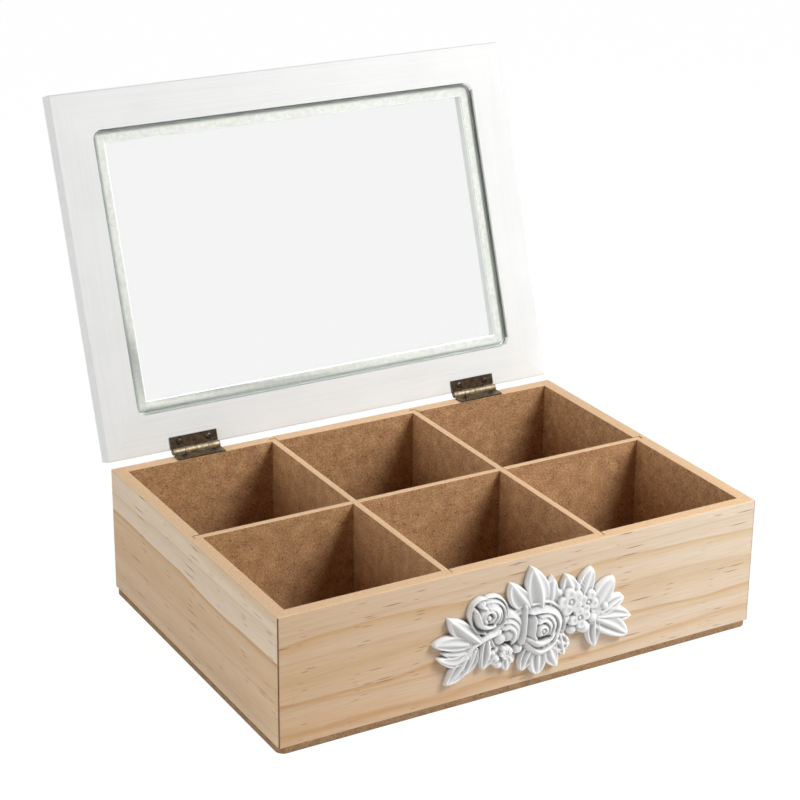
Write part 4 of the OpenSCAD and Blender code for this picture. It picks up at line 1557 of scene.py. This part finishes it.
@dataclass
class Studio:
    """The pale floor and backdrop, the lamps and the camera."""

    camera_place: Triple = (-472.6, -796.0, 473.3)
    azimuth: float = 29.854  # clockwise from +Y, seen from above
    down: float = 21.739
    roll: float = 0.538
    focal: float = 2225.7  # in pixels of the 800-pixel picture
    picture: float = 800.0
    sensor: float = 36.0
    clip: float = 20.0  # metres; the camera draws nothing farther off
    lamps: tuple[Lamp, ...] = (
        Lamp("key", (520.0, -620.0, 800.0), 480.0, 9.8),
        # narrow and aimed low, so that the lid gets little; its image would stand as a white disc in the pane
        Lamp("side", (440.0, -360.0, 340.0), 260.0, 0.125, (60.0, -60.0, 0.0), 60.0, mirrored=False),
        Lamp("fill", (-1400.0, 0.0, 360.0), 900.0, 9.1),
    )
    sky: float = 0.07  # strength of the even light from all round
    paper: str = "F0F0F0"
    backdrop: float = 1.02  # brightness that the floor shows by itself
    shown: float = 0.97  # share of that in what the eye sees of the floor; the rest is the lit paper
    radius: float = 6.0  # metres, of the floor

    def build(self) -> None:
        """Sets the stage."""
        self.camera()
        for lamp in self.lamps:
            lamp.hang()
        self.world()
        self.floor()
        bpy.context.scene.view_settings.view_transform = "Standard"

    def camera(self) -> None:
        """Adds the camera at the photograph's viewpoint."""
        az, el, roll = (math.radians(a) for a in (self.azimuth, self.down, self.roll))
        ahead = Vector((math.sin(az) * math.cos(el), math.cos(az) * math.cos(el), -math.sin(el)))
        right = Vector((math.cos(az), -math.sin(az), 0))
        up = right.cross(ahead)
        right, up = (
            math.cos(roll) * right + math.sin(roll) * up,
            math.cos(roll) * up - math.sin(roll) * right,
        )
        lens = bpy.data.cameras.new("camera")
        lens.sensor_width = self.sensor
        lens.lens = self.focal * self.sensor / self.picture
        lens.clip_end = self.clip
        holder = bpy.data.objects.new("camera", lens)
        turn = Matrix((right, up, -ahead)).transposed()
        holder.matrix_world = Matrix.Translation(Vector(self.camera_place) * MM) @ turn.to_4x4()
        bpy.context.scene.collection.objects.link(holder)
        bpy.context.scene.camera = holder

    def world(self) -> None:
        """Lights the scene evenly, and shows white to the camera, in glass and in metal."""
        world = bpy.data.worlds.new("studio")
        bpy.context.scene.world = world
        world.use_nodes = True
        graph = Graph(world.node_tree)
        strength = graph.span(graph.seen(), 0.0, 1.0, self.sky, 1.0)
        sky = graph.out("ShaderNodeBackground", {"Color": WHITE, "Strength": strength})
        add(graph.tree, "ShaderNodeOutputWorld", {"Surface": sky})

    def floor(self) -> None:
        """Adds the round pale floor, which takes the object's shadow."""
        bm = bmesh.new()
        bmesh.ops.create_circle(bm, cap_ends=True, segments=96, radius=self.radius)
        mesh = bpy.data.meshes.new("floor")
        bm.to_mesh(mesh)
        bm.free()
        made, graph = blank_material("floor_paper")
        paper = graph.out("ShaderNodeBsdfDiffuse", {"Color": linear(self.paper)})
        white = graph.out("ShaderNodeEmission", {"Color": WHITE, "Strength": self.backdrop})
        share = graph.math("MULTIPLY", graph.seen(), self.shown)
        mixed = graph.out("ShaderNodeMixShader", {0: share, 1: paper, 2: white})
        add(graph.tree, "ShaderNodeOutputMaterial", {"Surface": mixed})
        mesh.materials.append(made)
        new_object("floor", mesh)


def main() -> None:
    """Builds the stage and every piece, in order."""
    logging.basicConfig(level=logging.INFO, format="%(name)s: %(message)s")
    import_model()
    Studio().build()
    BoxShell().build()
    Lid().build()
    Hinges().build()
    RoseApplique().build()


if __name__ == "__main__":
    main()
